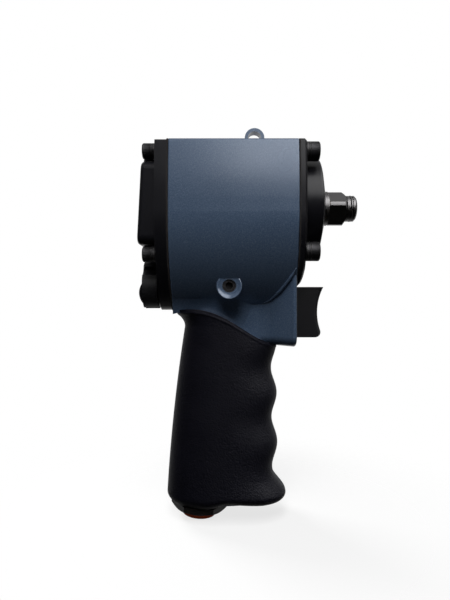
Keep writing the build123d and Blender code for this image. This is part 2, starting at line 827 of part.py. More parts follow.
# Anvil: square drive in front, journal in the bush, jaw for the hammer behind
thrust_front_x = bush_rear_end_x - moving_gap
thrust_rear_x = thrust_front_x - anvil_thrust_thickness
cage_rear_x = front_plate_front_x + moving_gap
hammer_rear_x = cage_rear_x + cage_plate_thickness + moving_gap
cage_front_x = behind_front(moving_gap)
hammer_front_x = cage_front_x - cage_plate_thickness - moving_gap
pilot_front_x = drive_square_length + pilot_length
pilot_radius = pilot_diameter / 2
groove_x = pilot_front_x - retaining_groove_setback - retaining_groove_width / 2
square_turn = 45 - anvil_turn_at_rest
with BuildPart() as anvil:
    with BuildSketch(Plane.YZ):
        Rectangle(drive_square, drive_square, rotation=square_turn)
        Circle(drive_corner_diameter / 2, mode=Mode.INTERSECT)
    extrude(amount=drive_square_length)
    corner_radius = drive_corner_diameter / 2
    with BuildSketch(Plane.XZ):
        with BuildLine():
            Polyline(
                (0, 0),
                (0, corner_radius - drive_edge_chamfer / 2),
                (drive_edge_chamfer / 2, corner_radius),
                (drive_square_length - drive_edge_chamfer * 2, corner_radius),
                (drive_square_length, pilot_radius - drive_edge_chamfer / 2),
                (drive_square_length, 0),
                close=True,
            )
        make_face()
    revolve(axis=Axis.X, mode=Mode.INTERSECT)
    rod(drive_square_length, pilot_front_x, pilot_radius)
    chamfer(anvil.edges().sort_by(Axis.X)[-1], pilot_edge_chamfer)
    with BuildSketch(Plane.XZ):
        with Locations((groove_x, pilot_radius - retaining_groove_depth / 2)):
            Rectangle(retaining_groove_width, retaining_groove_depth)
    revolve(axis=Axis.X, mode=Mode.SUBTRACT)
    rod(hub_face_x - moving_gap, 0, anvil_collar_diameter / 2)
    rod(thrust_front_x, hub_face_x - moving_gap, anvil_journal_diameter / 2)
    rod(thrust_rear_x, thrust_front_x, anvil_thrust_diameter / 2)
    rod(hammer_rear_x, thrust_rear_x, anvil_core_diameter / 2)
    extrude(
        sector(Plane.YZ.offset(hammer_rear_x), anvil_jaw_diameter / 2, 90, anvil_jaw_half_angle),
        amount=hammer_front_x - hammer_rear_x,
    )
anvil.part.label = "anvil"
export_step(anvil.part, "parts/anvil.step")

ring_radius = pilot_radius + retaining_ring_proud - retaining_ring_wire / 2
with BuildPart() as socket_retaining_ring:
    turned_ring(groove_x, ring_radius, retaining_ring_wire)
    with Locations((groove_x, 0, ring_radius)):
        Box(retaining_ring_wire * 2, retaining_ring_slit, retaining_ring_wire * 2, mode=Mode.SUBTRACT)
socket_retaining_ring.part.label = "socket_retaining_ring"
export_step(socket_retaining_ring.part, "parts/socket_retaining_ring.step")

with BuildPart() as retaining_o_ring:
    seat_radius = pilot_radius - retaining_groove_depth + slip_clearance
    turned_ring(groove_x, seat_radius + retaining_o_ring_wire / 2, retaining_o_ring_wire)
retaining_o_ring.part.label = "retaining_o_ring"
export_step(retaining_o_ring.part, "parts/retaining_o_ring.step")

# Hammer cage: two plates joined by bridges, driven by the rotor's square end
with BuildPart() as hammer_cage:
    cage_radius = cage_diameter / 2
    bridge_inner = cage_radius - cage_bridge_wall
    rod(cage_rear_x, cage_rear_x + cage_plate_thickness, cage_radius)
    rod(cage_front_x - cage_plate_thickness, cage_front_x, cage_radius)
    for middle_angle in (90, 270):
        extrude(
            sector(Plane.YZ.offset(cage_rear_x), cage_radius, middle_angle, cage_bridge_half_angle),
            amount=cage_front_x - cage_rear_x,
        )
    mouth_rear_x = cage_front_x - cage_plate_thickness
    rod(cage_rear_x + cage_plate_thickness, mouth_rear_x, bridge_inner, mode=Mode.SUBTRACT)
    rod(mouth_rear_x, cage_front_x, cage_mouth_diameter / 2, mode=Mode.SUBTRACT)
    with BuildSketch(Plane.YZ.offset(cage_rear_x)):
        Rectangle(rotor_drive_square + 2 * slip_clearance, rotor_drive_square + 2 * slip_clearance)
    extrude(amount=cage_plate_thickness, mode=Mode.SUBTRACT)
    bolt_holes(
        cage_rear_x,
        cage_front_x,
        [(0, hammer_pin_radius), (0, -hammer_pin_radius)],
        hammer_pin_diameter + 2 * slip_clearance,
    )
hammer_cage.part.label = "hammer_cage"
export_step(hammer_cage.part, "parts/hammer_cage.step")

with BuildPart() as hammer_pins:
    for height in (hammer_pin_radius, -hammer_pin_radius):
        rod(cage_rear_x, cage_front_x, hammer_pin_diameter / 2, z=height)
hammer_pins.part.label = "hammer_pins"
export_step(hammer_pins.part, "parts/hammer_pins.step")

# Hammer: a ring that rocks on the upper pin, with a lug inside and a notch round the lower pin
with BuildPart() as hammer:
    rod(hammer_rear_x, hammer_front_x, hammer_diameter / 2)
    rod(hammer_rear_x, hammer_front_x, hammer_bore / 2, mode=Mode.SUBTRACT)
    with BuildSketch(Plane.YZ.offset(hammer_rear_x)):
        add(sector(Plane.XY, hammer_bore / 2 + slip_clearance, 270, hammer_lug_half_angle))
        Circle(hammer_lug_diameter / 2, mode=Mode.SUBTRACT)
    extrude(amount=hammer_front_x - hammer_rear_x)
    rod(
        hammer_rear_x,
        hammer_front_x,
        hammer_pin_diameter / 2 + running_clearance,
        z=hammer_pin_radius,
        mode=Mode.SUBTRACT,
    )
    swing_width = 2 * hammer_pin_radius * math.sin(math.radians(hammer_swing))
    notch_top = hammer_pin_radius - hammer_pin_diameter / 2 - moving_gap * 2
    with BuildSketch(Plane.YZ.offset(hammer_rear_x)):
        with Locations((0, -notch_top - hammer_pin_diameter)):
            Rectangle(hammer_pin_diameter + 2 * (swing_width + moving_gap), 2 * hammer_pin_diameter)
    extrude(amount=hammer_front_x - hammer_rear_x, mode=Mode.SUBTRACT)
hammer.part.label = "hammer"
export_step(hammer.part, "parts/hammer.step")

# Air motor: end plates, liner, rotor and vanes
plate_radius = motor_bore_diameter / 2 - slip_clearance
pocket_radius = bearing_diameter / 2 + slip_clearance
rotor_front_x = front_plate_rear_x - moving_gap
rotor_rear_x = rear_plate_front_x + moving_gap
dowel_height = (liner_offset + liner_bore_diameter / 2 + motor_bore_diameter / 2) / 2
dowel_rear_x = rear_plate_front_x - dowel_length / 2
with BuildPart() as front_end_plate:
    rod(front_plate_rear_x, front_plate_front_x, plate_radius)
    rod(front_plate_front_x - bearing_width, front_plate_front_x, pocket_radius, mode=Mode.SUBTRACT)
    rod(front_plate_rear_x, front_plate_front_x, shaft_diameter / 2 + moving_gap, mode=Mode.SUBTRACT)
front_end_plate.part.label = "front_end_plate"
export_step(front_end_plate.part, "parts/front_end_plate.step")

with BuildPart() as rear_end_plate:
    rod(housing_rear_x, rear_plate_front_x, plate_radius)
    rod(housing_rear_x, housing_rear_x + bearing_width, pocket_radius, mode=Mode.SUBTRACT)
    rod(housing_rear_x, rear_plate_front_x, shaft_diameter / 2 + moving_gap, mode=Mode.SUBTRACT)
    rod(
        dowel_rear_x,
        rear_plate_front_x,
        dowel_diameter / 2 + slip_clearance,
        z=dowel_height,
        mode=Mode.SUBTRACT,
    )
rear_end_plate.part.label = "rear_end_plate"
export_step(rear_end_plate.part, "parts/rear_end_plate.step")

with BuildPart() as cylinder_liner:
    rod(rear_plate_front_x, front_plate_rear_x, plate_radius)
    rod(rear_plate_front_x, front_plate_rear_x, liner_bore_diameter / 2, z=liner_offset, mode=Mode.SUBTRACT)
    rod(
        rear_plate_front_x,
        dowel_rear_x + dowel_length,
        dowel_diameter / 2 + slip_clearance,
        z=dowel_height,
        mode=Mode.SUBTRACT,
    )
    liner_middle_x = (rear_plate_front_x + front_plate_rear_x) / 2
    port_plane = Plane(origin=(liner_middle_x, 0, 0), x_dir=(1, 0, 0), z_dir=(0, 0, -1))
    with BuildSketch(port_plane):
        with GridLocations(liner_port_pitch, 0, liner_port_count, 1):
            Circle(liner_port_diameter / 2)
    extrude(amount=motor_bore_diameter / 2, mode=Mode.SUBTRACT)
cylinder_liner.part.label = "cylinder_liner"
export_step(cylinder_liner.part, "parts/cylinder_liner.step")

with BuildPart() as liner_dowel:
    rod(dowel_rear_x, dowel_rear_x + dowel_length, dowel_diameter / 2, z=dowel_height)
liner_dowel.part.label = "liner_dowel"
export_step(liner_dowel.part, "parts/liner_dowel.step")

vane_tip_radius = rotor_diameter / 2 - vane_setback
drive_front_x = cage_rear_x + rotor_drive_length - slip_clearance
with BuildPart() as rotor:
    rod(rotor_rear_x, rotor_front_x, rotor_diameter / 2)
    slot_inner = vane_root_radius - slip_clearance
    slot_outer = rotor_diameter / 2 + vane_setback
    with BuildSketch(Plane.YZ.offset(rotor_rear_x)):
        with PolarLocations((slot_inner + slot_outer) / 2, vane_count):
            Rectangle(slot_outer - slot_inner, vane_thickness + 2 * slip_clearance)
    extrude(amount=rotor_front_x - rotor_rear_x, mode=Mode.SUBTRACT)
    rod(housing_rear_x, rotor_rear_x, shaft_diameter / 2)
    rod(rotor_front_x, front_plate_front_x, shaft_diameter / 2)
    with BuildSketch(Plane.YZ.offset(front_plate_front_x)):
        Rectangle(rotor_drive_square, rotor_drive_square)
    extrude(amount=drive_front_x - front_plate_front_x)
rotor.part.label = "rotor"
export_step(rotor.part, "parts/rotor.step")

with BuildPart() as rotor_vanes:
    with BuildSketch(Plane.YZ.offset(rotor_rear_x)):
        with PolarLocations((vane_root_radius + vane_tip_radius) / 2, vane_count):
            Rectangle(vane_tip_radius - vane_root_radius, vane_thickness)
    extrude(amount=rotor_front_x - rotor_rear_x)
rotor_vanes.part.label = "rotor_vanes"
export_step(rotor_vanes.part, "parts/rotor_vanes.step")

# Ball bearings, one in each end plate
front_bearing_x = front_plate_front_x - bearing_width
inner_ring_hole = shaft_diameter / 2 + slip_clearance
with BuildPart() as front_bearing_outer_ring:
    bearing_ring(front_bearing_x, bearing_diameter / 2 - bearing_ring_wall, bearing_diameter / 2)
front_bearing_outer_ring.part.label = "front_bearing_outer_ring"
export_step(front_bearing_outer_ring.part, "parts/front_bearing_outer_ring.step")

with BuildPart() as front_bearing_inner_ring:
    bearing_ring(front_bearing_x, inner_ring_hole, shaft_diameter / 2 + bearing_ring_wall)
front_bearing_inner_ring.part.label = "front_bearing_inner_ring"
export_step(front_bearing_inner_ring.part, "parts/front_bearing_inner_ring.step")

with BuildPart() as front_bearing_balls:
    bearing_balls(front_bearing_x)
front_bearing_balls.part.label = "front_bearing_balls"
export_step(front_bearing_balls.part, "parts/front_bearing_balls.step")

with BuildPart() as rear_bearing_outer_ring:
    bearing_ring(housing_rear_x, bearing_diameter / 2 - bearing_ring_wall, bearing_diameter / 2)
rear_bearing_outer_ring.part.label = "rear_bearing_outer_ring"
export_step(rear_bearing_outer_ring.part, "parts/rear_bearing_outer_ring.step")

with BuildPart() as rear_bearing_inner_ring:
    bearing_ring(housing_rear_x, inner_ring_hole, shaft_diameter / 2 + bearing_ring_wall)
rear_bearing_inner_ring.part.label = "rear_bearing_inner_ring"
export_step(rear_bearing_inner_ring.part, "parts/rear_bearing_inner_ring.step")

with BuildPart() as rear_bearing_balls:
    bearing_balls(housing_rear_x)
rear_bearing_balls.part.label = "rear_bearing_balls"
export_step(rear_bearing_balls.part, "parts/rear_bearing_balls.step")

# Rear cover: a thick flange, a hollow slanted cap and the seat of the reverse knob
with BuildPart() as rear_cover:
    with BuildSketch(Plane.XZ):
        with BuildLine():
            Polyline(
                (cover_rear_x, cap_top_height),
                (cover_rear_x - cap_reach, cap_top_height),
                (cover_rear_x - cap_reach - cap_slant, -cap_bottom_drop),
                (cover_rear_x, -cap_bottom_drop),
                close=True,
            )
        make_face()
    extrude(amount=cap_half_width, both=True)
    fillet(rear_cover.edges().filter_by(Axis.X), cap_corner_radius)
    fillet(rear_cover.faces().sort_by(Axis.X)[0].edges(), cap_edge_radius)
    extrude(rear_outline(Plane.YZ.offset(cover_rear_x), rear_cover_inset), amount=rear_flange_thickness)
    rod(cover_rear_x - knob_seat_height, cover_rear_x, knob_radius - knob_scallop_depth, z=reverse_z)
    cap_middle_z = (cap_top_height - cap_bottom_drop) / 2
    with BuildSketch(Plane.YZ.offset(cover_seat_x)):
        with Locations((0, cap_middle_z)):
            RectangleRounded(
                2 * (cap_half_width - cap_wall),
                cap_top_height + cap_bottom_drop - 2 * cap_wall,
                cap_corner_radius,
            )
    extrude(amount=cap_wall - rear_flange_thickness - cap_reach, mode=Mode.SUBTRACT)
    rod(
        cover_seat_x,
        cover_rear_x - knob_seat_height,
        spool_diameter / 2 + running_clearance,
        z=reverse_z,
        mode=Mode.SUBTRACT,
    )
    bolt_holes(cover_seat_x, cover_rear_x, rear_bolt_places, rear_bolt_diameter + hole_allowance)
rear_cover.part.label = "rear_cover"
export_step(rear_cover.part, "parts/rear_cover.step")

with BuildPart() as rear_gasket:
    extrude(rear_outline(Plane.YZ.offset(cover_seat_x)), amount=rear_gasket_thickness)
    rod(cover_seat_x, housing_rear_x, bearing_diameter / 2, mode=Mode.SUBTRACT)
    rod(cover_seat_x, housing_rear_x, spool_diameter / 2 + moving_gap, z=reverse_z, mode=Mode.SUBTRACT)
    bolt_holes(cover_seat_x, housing_rear_x, rear_bolt_places, rear_bolt_diameter + hole_allowance)
rear_gasket.part.label = "rear_gasket"
export_step(rear_gasket.part, "parts/rear_gasket.step")

rear_lock_x = cover_rear_x - flat_washer_thickness
rear_head_x = rear_lock_x - lock_washer_thickness
with BuildPart() as rear_flat_washers:
    washers(
        cover_rear_x,
        -1,
        rear_bolt_places,
        rear_bolt_diameter,
        rear_bolt_head_diameter,
        flat_washer_thickness,
    )
rear_flat_washers.part.label = "rear_flat_washers"
export_step(rear_flat_washers.part, "parts/rear_flat_washers.step")

with BuildPart() as rear_lock_washers:
    washers(
        rear_lock_x,
        -1,
        rear_bolt_places,
        rear_bolt_diameter,
        rear_bolt_head_diameter,
        lock_washer_thickness,
        lock_washer_slit,
    )
rear_lock_washers.part.label = "rear_lock_washers"
export_step(rear_lock_washers.part, "parts/rear_lock_washers.step")

with BuildPart() as rear_bolts:
    socket_screws(
        rear_head_x,
        -1,
        rear_bolt_places,
        rear_bolt_diameter,
        rear_bolt_head_diameter,
        rear_bolt_head_height,
        rear_bolt_socket,
        housing_rear_x + rear_bolt_grip - rear_head_x,
    )
rear_bolts.part.label = "rear_bolts"
export_step(rear_bolts.part, "parts/rear_bolts.step")

# Reverse valve: a spool under the motor, its knob, screw and seal
knob_front_x = cover_rear_x - knob_seat_height - moving_gap
knob_face_x = knob_front_x - knob_length
screw_seat_x = knob_face_x - knob_rib_height + knob_screw_head_height
with BuildPart() as reverse_knob:
    with BuildSketch(Plane.YZ.offset(knob_front_x)):
        with Locations((0, reverse_z)):
            Circle(knob_radius)
        scallop_radius = knob_radius + knob_scallop_radius - knob_scallop_depth
        for end in (180, 0):
            for side in (-1, 1):
                turn = math.radians(end - knob_rib_angle + side * knob_scallop_angle)
                place = (scallop_radius * math.cos(turn), reverse_z + scallop_radius * math.sin(turn))
                with Locations(place):
                    Circle(knob_scallop_radius, mode=Mode.SUBTRACT)
    extrude(amount=-knob_length)
    rib_turn = math.radians(-knob_rib_angle)
    rib_plane = Plane(
        origin=(knob_face_x, 0, reverse_z),
        x_dir=(0, math.sin(rib_turn), -math.cos(rib_turn)),
        z_dir=(0, math.cos(rib_turn), math.sin(rib_turn)),
    )
    half_rib = knob_rib_width / 2
    rib_rise = knob_rib_height if rib_plane.y_dir.X < 0 else -knob_rib_height
    with BuildSketch(rib_plane):
        with BuildLine():
            ThreePointArc((-half_rib, 0), (0, rib_rise), (half_rib, 0))
            Line((half_rib, 0), (-half_rib, 0))
        make_face()
    extrude(amount=knob_radius - knob_scallop_depth / 2, both=True)
    screw_head_hole = knob_screw_head_diameter / 2 + slip_clearance
    rod(screw_seat_x, knob_face_x - 2 * knob_rib_height, screw_head_hole, z=reverse_z, mode=Mode.SUBTRACT)
    rod(
        knob_front_x,
        screw_seat_x,
        knob_screw_diameter / 2 + slip_clearance,
        z=reverse_z,
        mode=Mode.SUBTRACT,
    )
reverse_knob.part.label = "reverse_knob"
export_step(reverse_knob.part, "parts/reverse_knob.step")

o_ring_x = housing_rear_x + reverse_o_ring_setback
groove_radius = spool_diameter / 2 - reverse_o_ring_wire
with BuildPart() as reverse_valve:
    rod(knob_front_x, spool_front_x, spool_diameter / 2, z=reverse_z)
    screw_tip_x = screw_seat_x + knob_screw_length
    rod(
        knob_front_x,
        screw_tip_x + thread_run_out,
        knob_screw_diameter / 2 + slip_clearance,
        z=reverse_z,
        mode=Mode.SUBTRACT,
    )
    with BuildSketch(Plane.XZ):
        with Locations((o_ring_x, reverse_z + groove_radius + reverse_o_ring_wire)):
            Rectangle(reverse_o_ring_wire + 2 * slip_clearance, 2 * reverse_o_ring_wire)
    revolve(axis=Axis((0, 0, reverse_z), (1, 0, 0)), mode=Mode.SUBTRACT)
    # The air slot across the spool, and the dimples that the detent ball clicks into
    with Locations((bore_top_x, 0, reverse_z)):
        Cylinder(port_radius, spool_diameter, mode=Mode.SUBTRACT)
    for step in (-1, 0, 1):
        turn = math.radians(180 + step * detent_dimple_step)
        dimple_radius = spool_diameter / 2 + detent_ball_diameter / 2 - detent_dimple_depth
        with Locations((boss_x, dimple_radius * math.cos(turn), reverse_z + dimple_radius * math.sin(turn))):
            Sphere(detent_ball_diameter / 2, mode=Mode.SUBTRACT)
reverse_valve.part.label = "reverse_valve"
export_step(reverse_valve.part, "parts/reverse_valve.step")

with BuildPart() as reverse_knob_screw:
    rod(screw_seat_x, screw_seat_x - knob_screw_head_height, knob_screw_head_diameter / 2, z=reverse_z)
    rod(screw_seat_x, screw_tip_x, knob_screw_diameter / 2, z=reverse_z)
    with BuildSketch(Plane.YZ.offset(screw_seat_x - knob_screw_head_height)):
        with Locations((0, reverse_z)):
            RegularPolygon(knob_screw_head_diameter / 4, 6, major_radius=False)
    extrude(amount=knob_screw_head_height * socket_depth_share, mode=Mode.SUBTRACT)
reverse_knob_screw.part.label = "reverse_knob_screw"
export_step(reverse_knob_screw.part, "parts/reverse_knob_screw.step")

with BuildPart() as reverse_o_ring:
    turned_ring(o_ring_x, spool_diameter / 2 - reverse_o_ring_wire / 2, reverse_o_ring_wire, z=reverse_z)
reverse_o_ring.part.label = "reverse_o_ring"
export_step(reverse_o_ring.part, "parts/reverse_o_ring.step")

# Detent: ball, spring and the socket set screw in the side boss
with BuildPart() as detent_ball:
    with Locations((boss_x, -ball_centre_y, reverse_z)):
        Sphere(detent_ball_diameter / 2)
detent_ball.part.label = "detent_ball"
export_step(detent_ball.part, "parts/detent_ball.step")

with BuildPart() as detent_spring:
    spring_outer_y = screw_inner_y
    spring_inner_y = ball_centre_y + detent_ball_diameter / 2 - detent_spring_wire
    spring_radius = detent_ball_diameter / 2 - slip_clearance
    side_rod(-spring_outer_y, -spring_inner_y, spring_radius, boss_x, reverse_z)
    side_rod(
        -spring_outer_y,
        -spring_inner_y,
        spring_radius - detent_spring_wire,
        boss_x,
        reverse_z,
        Mode.SUBTRACT,
    )
detent_spring.part.label = "detent_spring"
export_step(detent_spring.part, "parts/detent_spring.step")

with BuildPart() as side_set_screw:
    screw_face_y = boss_face_reach - set_screw_recess
    side_rod(-screw_face_y, -screw_inner_y, set_screw_diameter / 2, boss_x, reverse_z)
    socket_plane = Plane(origin=(boss_x, -screw_face_y, reverse_z), x_dir=(1, 0, 0), z_dir=(0, 1, 0))
    with BuildSketch(socket_plane):
        RegularPolygon(set_screw_socket / 2, 6, major_radius=False)
    extrude(amount=set_screw_length * socket_depth_share, mode=Mode.SUBTRACT)
side_set_screw.part.label = "side_set_screw"
export_step(side_set_screw.part, "parts/side_set_screw.step")

# Trigger, its stem, and the bush and seal that the stem slides in
trigger_rear_x = behind_front(trigger_seat_depth)
trigger_top_z = -trigger_top_drop
trigger_bottom_z = trigger_top_z - trigger_height
stem_front_x = trigger_rear_x + trigger_stem_grip
with BuildPart() as trigger:
    toe_z = trigger_bottom_z + trigger_toe_height
    waist_z = (trigger_top_z + toe_z) / 2
    with BuildSketch(Plane.XZ) as side_view:
        with BuildLine():
            Line((trigger_rear_x, trigger_top_z), (housing_front_x + trigger_reach, trigger_top_z))
            ThreePointArc(
                (housing_front_x + trigger_reach, trigger_top_z),
                (housing_front_x + trigger_waist_reach, waist_z),
                (housing_front_x + trigger_toe_reach, toe_z),
            )
            Polyline(
                (housing_front_x + trigger_toe_reach, toe_z),
                (housing_front_x + trigger_toe_reach, trigger_bottom_z),
                (trigger_rear_x, trigger_bottom_z),
                (trigger_rear_x, trigger_top_z),
            )
        make_face()
        toe = side_view.vertices().group_by(Axis.Y)[0].sort_by(Axis.X)[-1]
        fillet(toe, trigger_toe_radius)
    extrude(amount=trigger_half_width, both=True)
    front_faces = trigger.faces().filter_by(GeomType.CYLINDER).sort_by(Axis.Z)[-1]
    fillet(front_faces.edges().filter_by(GeomType.CIRCLE), trigger_edge_radius)
    rod(
        trigger_rear_x,
        stem_front_x,
        trigger_stem_diameter / 2 + slip_clearance,
        z=-trigger_stem_drop,
        mode=Mode.SUBTRACT,
    )
trigger.part.label = "trigger"
export_step(trigger.part, "parts/trigger.step")

with BuildPart() as trigger_stem:
    stem_radius = trigger_stem_diameter / 2
    rod(stem_tip_x + stem_radius, stem_front_x, stem_radius, z=-trigger_stem_drop)
    with Locations((stem_tip_x + stem_radius, 0, -trigger_stem_drop)):
        Sphere(stem_radius)
trigger_stem.part.label = "trigger_stem"
export_step(trigger_stem.part, "parts/trigger_stem.step")

with BuildPart() as trigger_bush:
    rod(bush_rear_x, pocket_floor_x, trigger_bush_diameter / 2, z=-trigger_stem_drop)
    rod(
        bush_rear_x,
        pocket_floor_x,
        trigger_stem_diameter / 2 + running_clearance,
        z=-trigger_stem_drop,
        mode=Mode.SUBTRACT,
    )
trigger_bush.part.label = "trigger_bush"
export_step(trigger_bush.part, "parts/trigger_bush.step")

with BuildPart() as trigger_o_ring:
    turned_ring(
        bush_rear_x - slip_clearance - trigger_o_ring_wire / 2,
        trigger_stem_diameter / 2 + running_clearance + trigger_o_ring_wire / 2,
        trigger_o_ring_wire,
        z=-trigger_stem_drop,
    )
trigger_o_ring.part.label = "trigger_o_ring"
export_step(trigger_o_ring.part, "parts/trigger_o_ring.step")

# Throttle: a tilting valve held up against its seat by a spring
with BuildPart() as throttle_seat:
    handle_rod(seat_height, seat_top, bore_below_seat_diameter / 2)
    handle_rod(seat_height, seat_top, seat_hole_diameter / 2, Mode.SUBTRACT)
throttle_seat.part.label = "throttle_seat"
export_step(throttle_seat.part, "parts/throttle_seat.step")

valve_top = seat_height - running_clearance
valve_bottom = valve_top - valve_head_thickness
with BuildPart() as throttle_valve:
    handle_rod(valve_bottom, valve_top, valve_head_diameter / 2)
    handle_rod(valve_top, stem_up + valve_stem_above_trigger, valve_stem_diameter / 2)
throttle_valve.part.label = "throttle_valve"
export_step(throttle_valve.part, "parts/throttle_valve.step")

screen_top = inlet_thread_length + screen_height
with BuildPart() as throttle_spring:
    handle_rod(screen_top, valve_bottom, throttle_spring_diameter / 2)
    handle_rod(screen_top, valve_bottom, throttle_spring_diameter / 2 - throttle_spring_wire, Mode.SUBTRACT)
throttle_spring.part.label = "throttle_spring"
export_step(throttle_spring.part, "parts/throttle_spring.step")

# Inlet: a hexagon bush with a conical end, its seal, screen and coloured ring
hex_top = -inlet_hex_gap
hex_bottom = hex_top - inlet_hex_height
cone_bottom = hex_bottom - inlet_cone_height
ring_bottom = cone_bottom - inlet_ring_height
hex_corner = inlet_hex / math.sqrt(3)
with BuildPart() as inlet_bush:
    with BuildSketch(handle_plane.offset(cone_bottom)):
        RegularPolygon(inlet_hex / 2, 6, major_radius=False)
    extrude(amount=hex_top - cone_bottom)
    handle_turning(
        (0, cone_bottom),
        (inlet_ring_diameter / 2, cone_bottom),
        (hex_corner, hex_bottom),
        (hex_corner, hex_top),
        (0, hex_top),
        mode=Mode.INTERSECT,
    )
    handle_rod(hex_top, inlet_thread_length, inlet_thread_diameter / 2)
    handle_rod(cone_bottom, inlet_thread_length, inlet_bore_diameter / 2, Mode.SUBTRACT)
inlet_bush.part.label = "inlet_bush"
export_step(inlet_bush.part, "parts/inlet_bush.step")

with BuildPart() as inlet_ring:
    handle_rod(ring_bottom, cone_bottom, inlet_ring_diameter / 2)
    handle_rod(ring_bottom, cone_bottom, inlet_ring_diameter / 2 - inlet_ring_wall, Mode.SUBTRACT)
inlet_ring.part.label = "inlet_ring"
export_step(inlet_ring.part, "parts/inlet_ring.step")

with BuildPart() as inlet_o_ring:
    o_ring_middle = inlet_thread_diameter / 2 + slip_clearance + inlet_o_ring_wire / 2
    with BuildSketch(handle_side_plane):
        with Locations((o_ring_middle, hex_top + inlet_o_ring_wire / 2)):
            Circle(inlet_o_ring_wire / 2)
    revolve(axis=handle_axis)
inlet_o_ring.part.label = "inlet_o_ring"
export_step(inlet_o_ring.part, "parts/inlet_o_ring.step")

with BuildPart() as inlet_screen:
    rim_top = inlet_thread_length + screen_wall
    handle_rod(inlet_thread_length, rim_top, bore_below_seat_diameter / 2)
    handle_rod(rim_top, screen_top, screen_diameter / 2)
    screen_inner = screen_diameter / 2 - screen_wall
    handle_rod(inlet_thread_length, screen_top - screen_wall, screen_inner, Mode.SUBTRACT)
    with BuildSketch(handle_plane.offset(rim_top + screen_wall)):
        for step in range(screen_slot_count):
            Rectangle(2 * screen_diameter, screen_slot, rotation=180 * step / screen_slot_count)
    extrude(amount=screen_height - 3 * screen_wall, mode=Mode.SUBTRACT)
inlet_screen.part.label = "inlet_screen"
export_step(inlet_screen.part, "parts/inlet_screen.step")

# Silencer in the exhaust way, with slots for the spent air
with BuildPart() as exhaust_muffler:
    muffler_bottom = (core_recess + exhaust_offset * math.sin(lean)) / math.cos(lean)
    with BuildSketch(handle_plane.offset(muffler_bottom)):
        with Locations((exhaust_offset, 0)):
            RectangleRounded(
                exhaust_depth - 2 * slip_clearance,
                exhaust_width - 2 * slip_clearance,
                exhaust_corner_radius - slip_clearance,
            )
        with Locations((exhaust_offset, 0)):
            with GridLocations(0, muffler_slot_pitch, 1, muffler_slot_count):
                Rectangle(muffler_slot_length, muffler_slot_width, mode=Mode.SUBTRACT)
    extrude(amount=muffler_height)
exhaust_muffler.part.label = "exhaust_muffler"
export_step(exhaust_muffler.part, "parts/exhaust_muffler.step")
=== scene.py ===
import json
import math
import bmesh
import bpy
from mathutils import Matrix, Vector


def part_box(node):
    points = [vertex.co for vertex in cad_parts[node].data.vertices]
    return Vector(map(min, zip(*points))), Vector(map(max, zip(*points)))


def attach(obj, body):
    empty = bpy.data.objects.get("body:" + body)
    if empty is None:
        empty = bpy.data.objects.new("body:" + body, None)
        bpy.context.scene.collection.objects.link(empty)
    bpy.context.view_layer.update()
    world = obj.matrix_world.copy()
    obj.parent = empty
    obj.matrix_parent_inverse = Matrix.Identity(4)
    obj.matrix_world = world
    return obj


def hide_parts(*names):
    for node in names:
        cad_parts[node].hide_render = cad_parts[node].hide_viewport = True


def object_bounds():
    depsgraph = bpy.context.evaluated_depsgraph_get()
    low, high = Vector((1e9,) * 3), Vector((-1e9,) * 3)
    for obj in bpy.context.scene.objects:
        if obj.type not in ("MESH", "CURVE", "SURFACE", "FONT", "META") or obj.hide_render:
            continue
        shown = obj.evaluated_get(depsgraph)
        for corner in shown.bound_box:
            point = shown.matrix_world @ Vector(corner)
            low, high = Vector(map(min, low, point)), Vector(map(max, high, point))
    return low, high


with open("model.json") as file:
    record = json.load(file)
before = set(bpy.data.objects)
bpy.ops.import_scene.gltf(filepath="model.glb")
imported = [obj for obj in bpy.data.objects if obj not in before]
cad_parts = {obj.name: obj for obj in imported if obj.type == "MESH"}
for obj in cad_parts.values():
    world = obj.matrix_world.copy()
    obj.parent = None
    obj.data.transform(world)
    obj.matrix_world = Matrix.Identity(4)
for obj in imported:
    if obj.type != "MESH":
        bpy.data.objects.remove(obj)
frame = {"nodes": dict(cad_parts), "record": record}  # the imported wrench, at rest, in metres
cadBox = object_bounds()
mm = 0.001
nodeSlots = {row["node"]: row["material_slot"] for row in frame["record"]["subparts"]}


# Camera: level, and close enough for the photo's strong perspective
cameraSetup = {
    "place": (-49.5, -236.0, -44.6), "lens": 28.92, "sensor": 36.0,  # mm
    "nearest": 0.01,                                                 # m
    "tilt": 90.0,                                                    # degrees up from straight down
}


def placeCamera(setup):
    data = bpy.data.cameras.new("photoCamera")
    data.lens = setup["lens"]
    data.sensor_width = setup["sensor"]
    data.clip_start = setup["nearest"]
    camera = bpy.data.objects.new("photoCamera", data)
    camera.location = Vector(setup["place"]) * mm
    camera.rotation_euler = (math.radians(setup["tilt"]), 0, 0)
    bpy.context.scene.collection.objects.link(camera)
    bpy.context.scene.camera = camera


placeCamera(cameraSetup)
bpy.context.scene.view_settings.view_transform = "Standard"
print("camera placed")


# Shader helpers
def addNode(tree, kind, **settings):
    node = tree.nodes.new(kind)
    for name, value in settings.items():
        setattr(node, name, value)
    return node


def mathNode(tree, operation, first, second=None, third=None, clamp=False):
    node = addNode(tree, "ShaderNodeMath", operation=operation, use_clamp=clamp)
    for socket, value in zip(node.inputs, (first, second, third)):
        if value is None:
            continue
        if isinstance(value, (int, float)):
            socket.default_value = value
        else:
            tree.links.new(value, socket)
    return node.outputs[0]


def mixColours(tree, factor, first, second):
    node = addNode(tree, "ShaderNodeMix", data_type="RGBA")
    # Inputs 0, 6 and 7 are the factor and the two colours, and output 2 is the mixed one
    for index, value in ((0, factor), (6, first), (7, second)):
        if isinstance(value, (int, float)):
            node.inputs[index].default_value = value
        elif isinstance(value, tuple):
            node.inputs[index].default_value = (*value, 1)
        else:
            tree.links.new(value, node.inputs[index])
    return node.outputs[2]


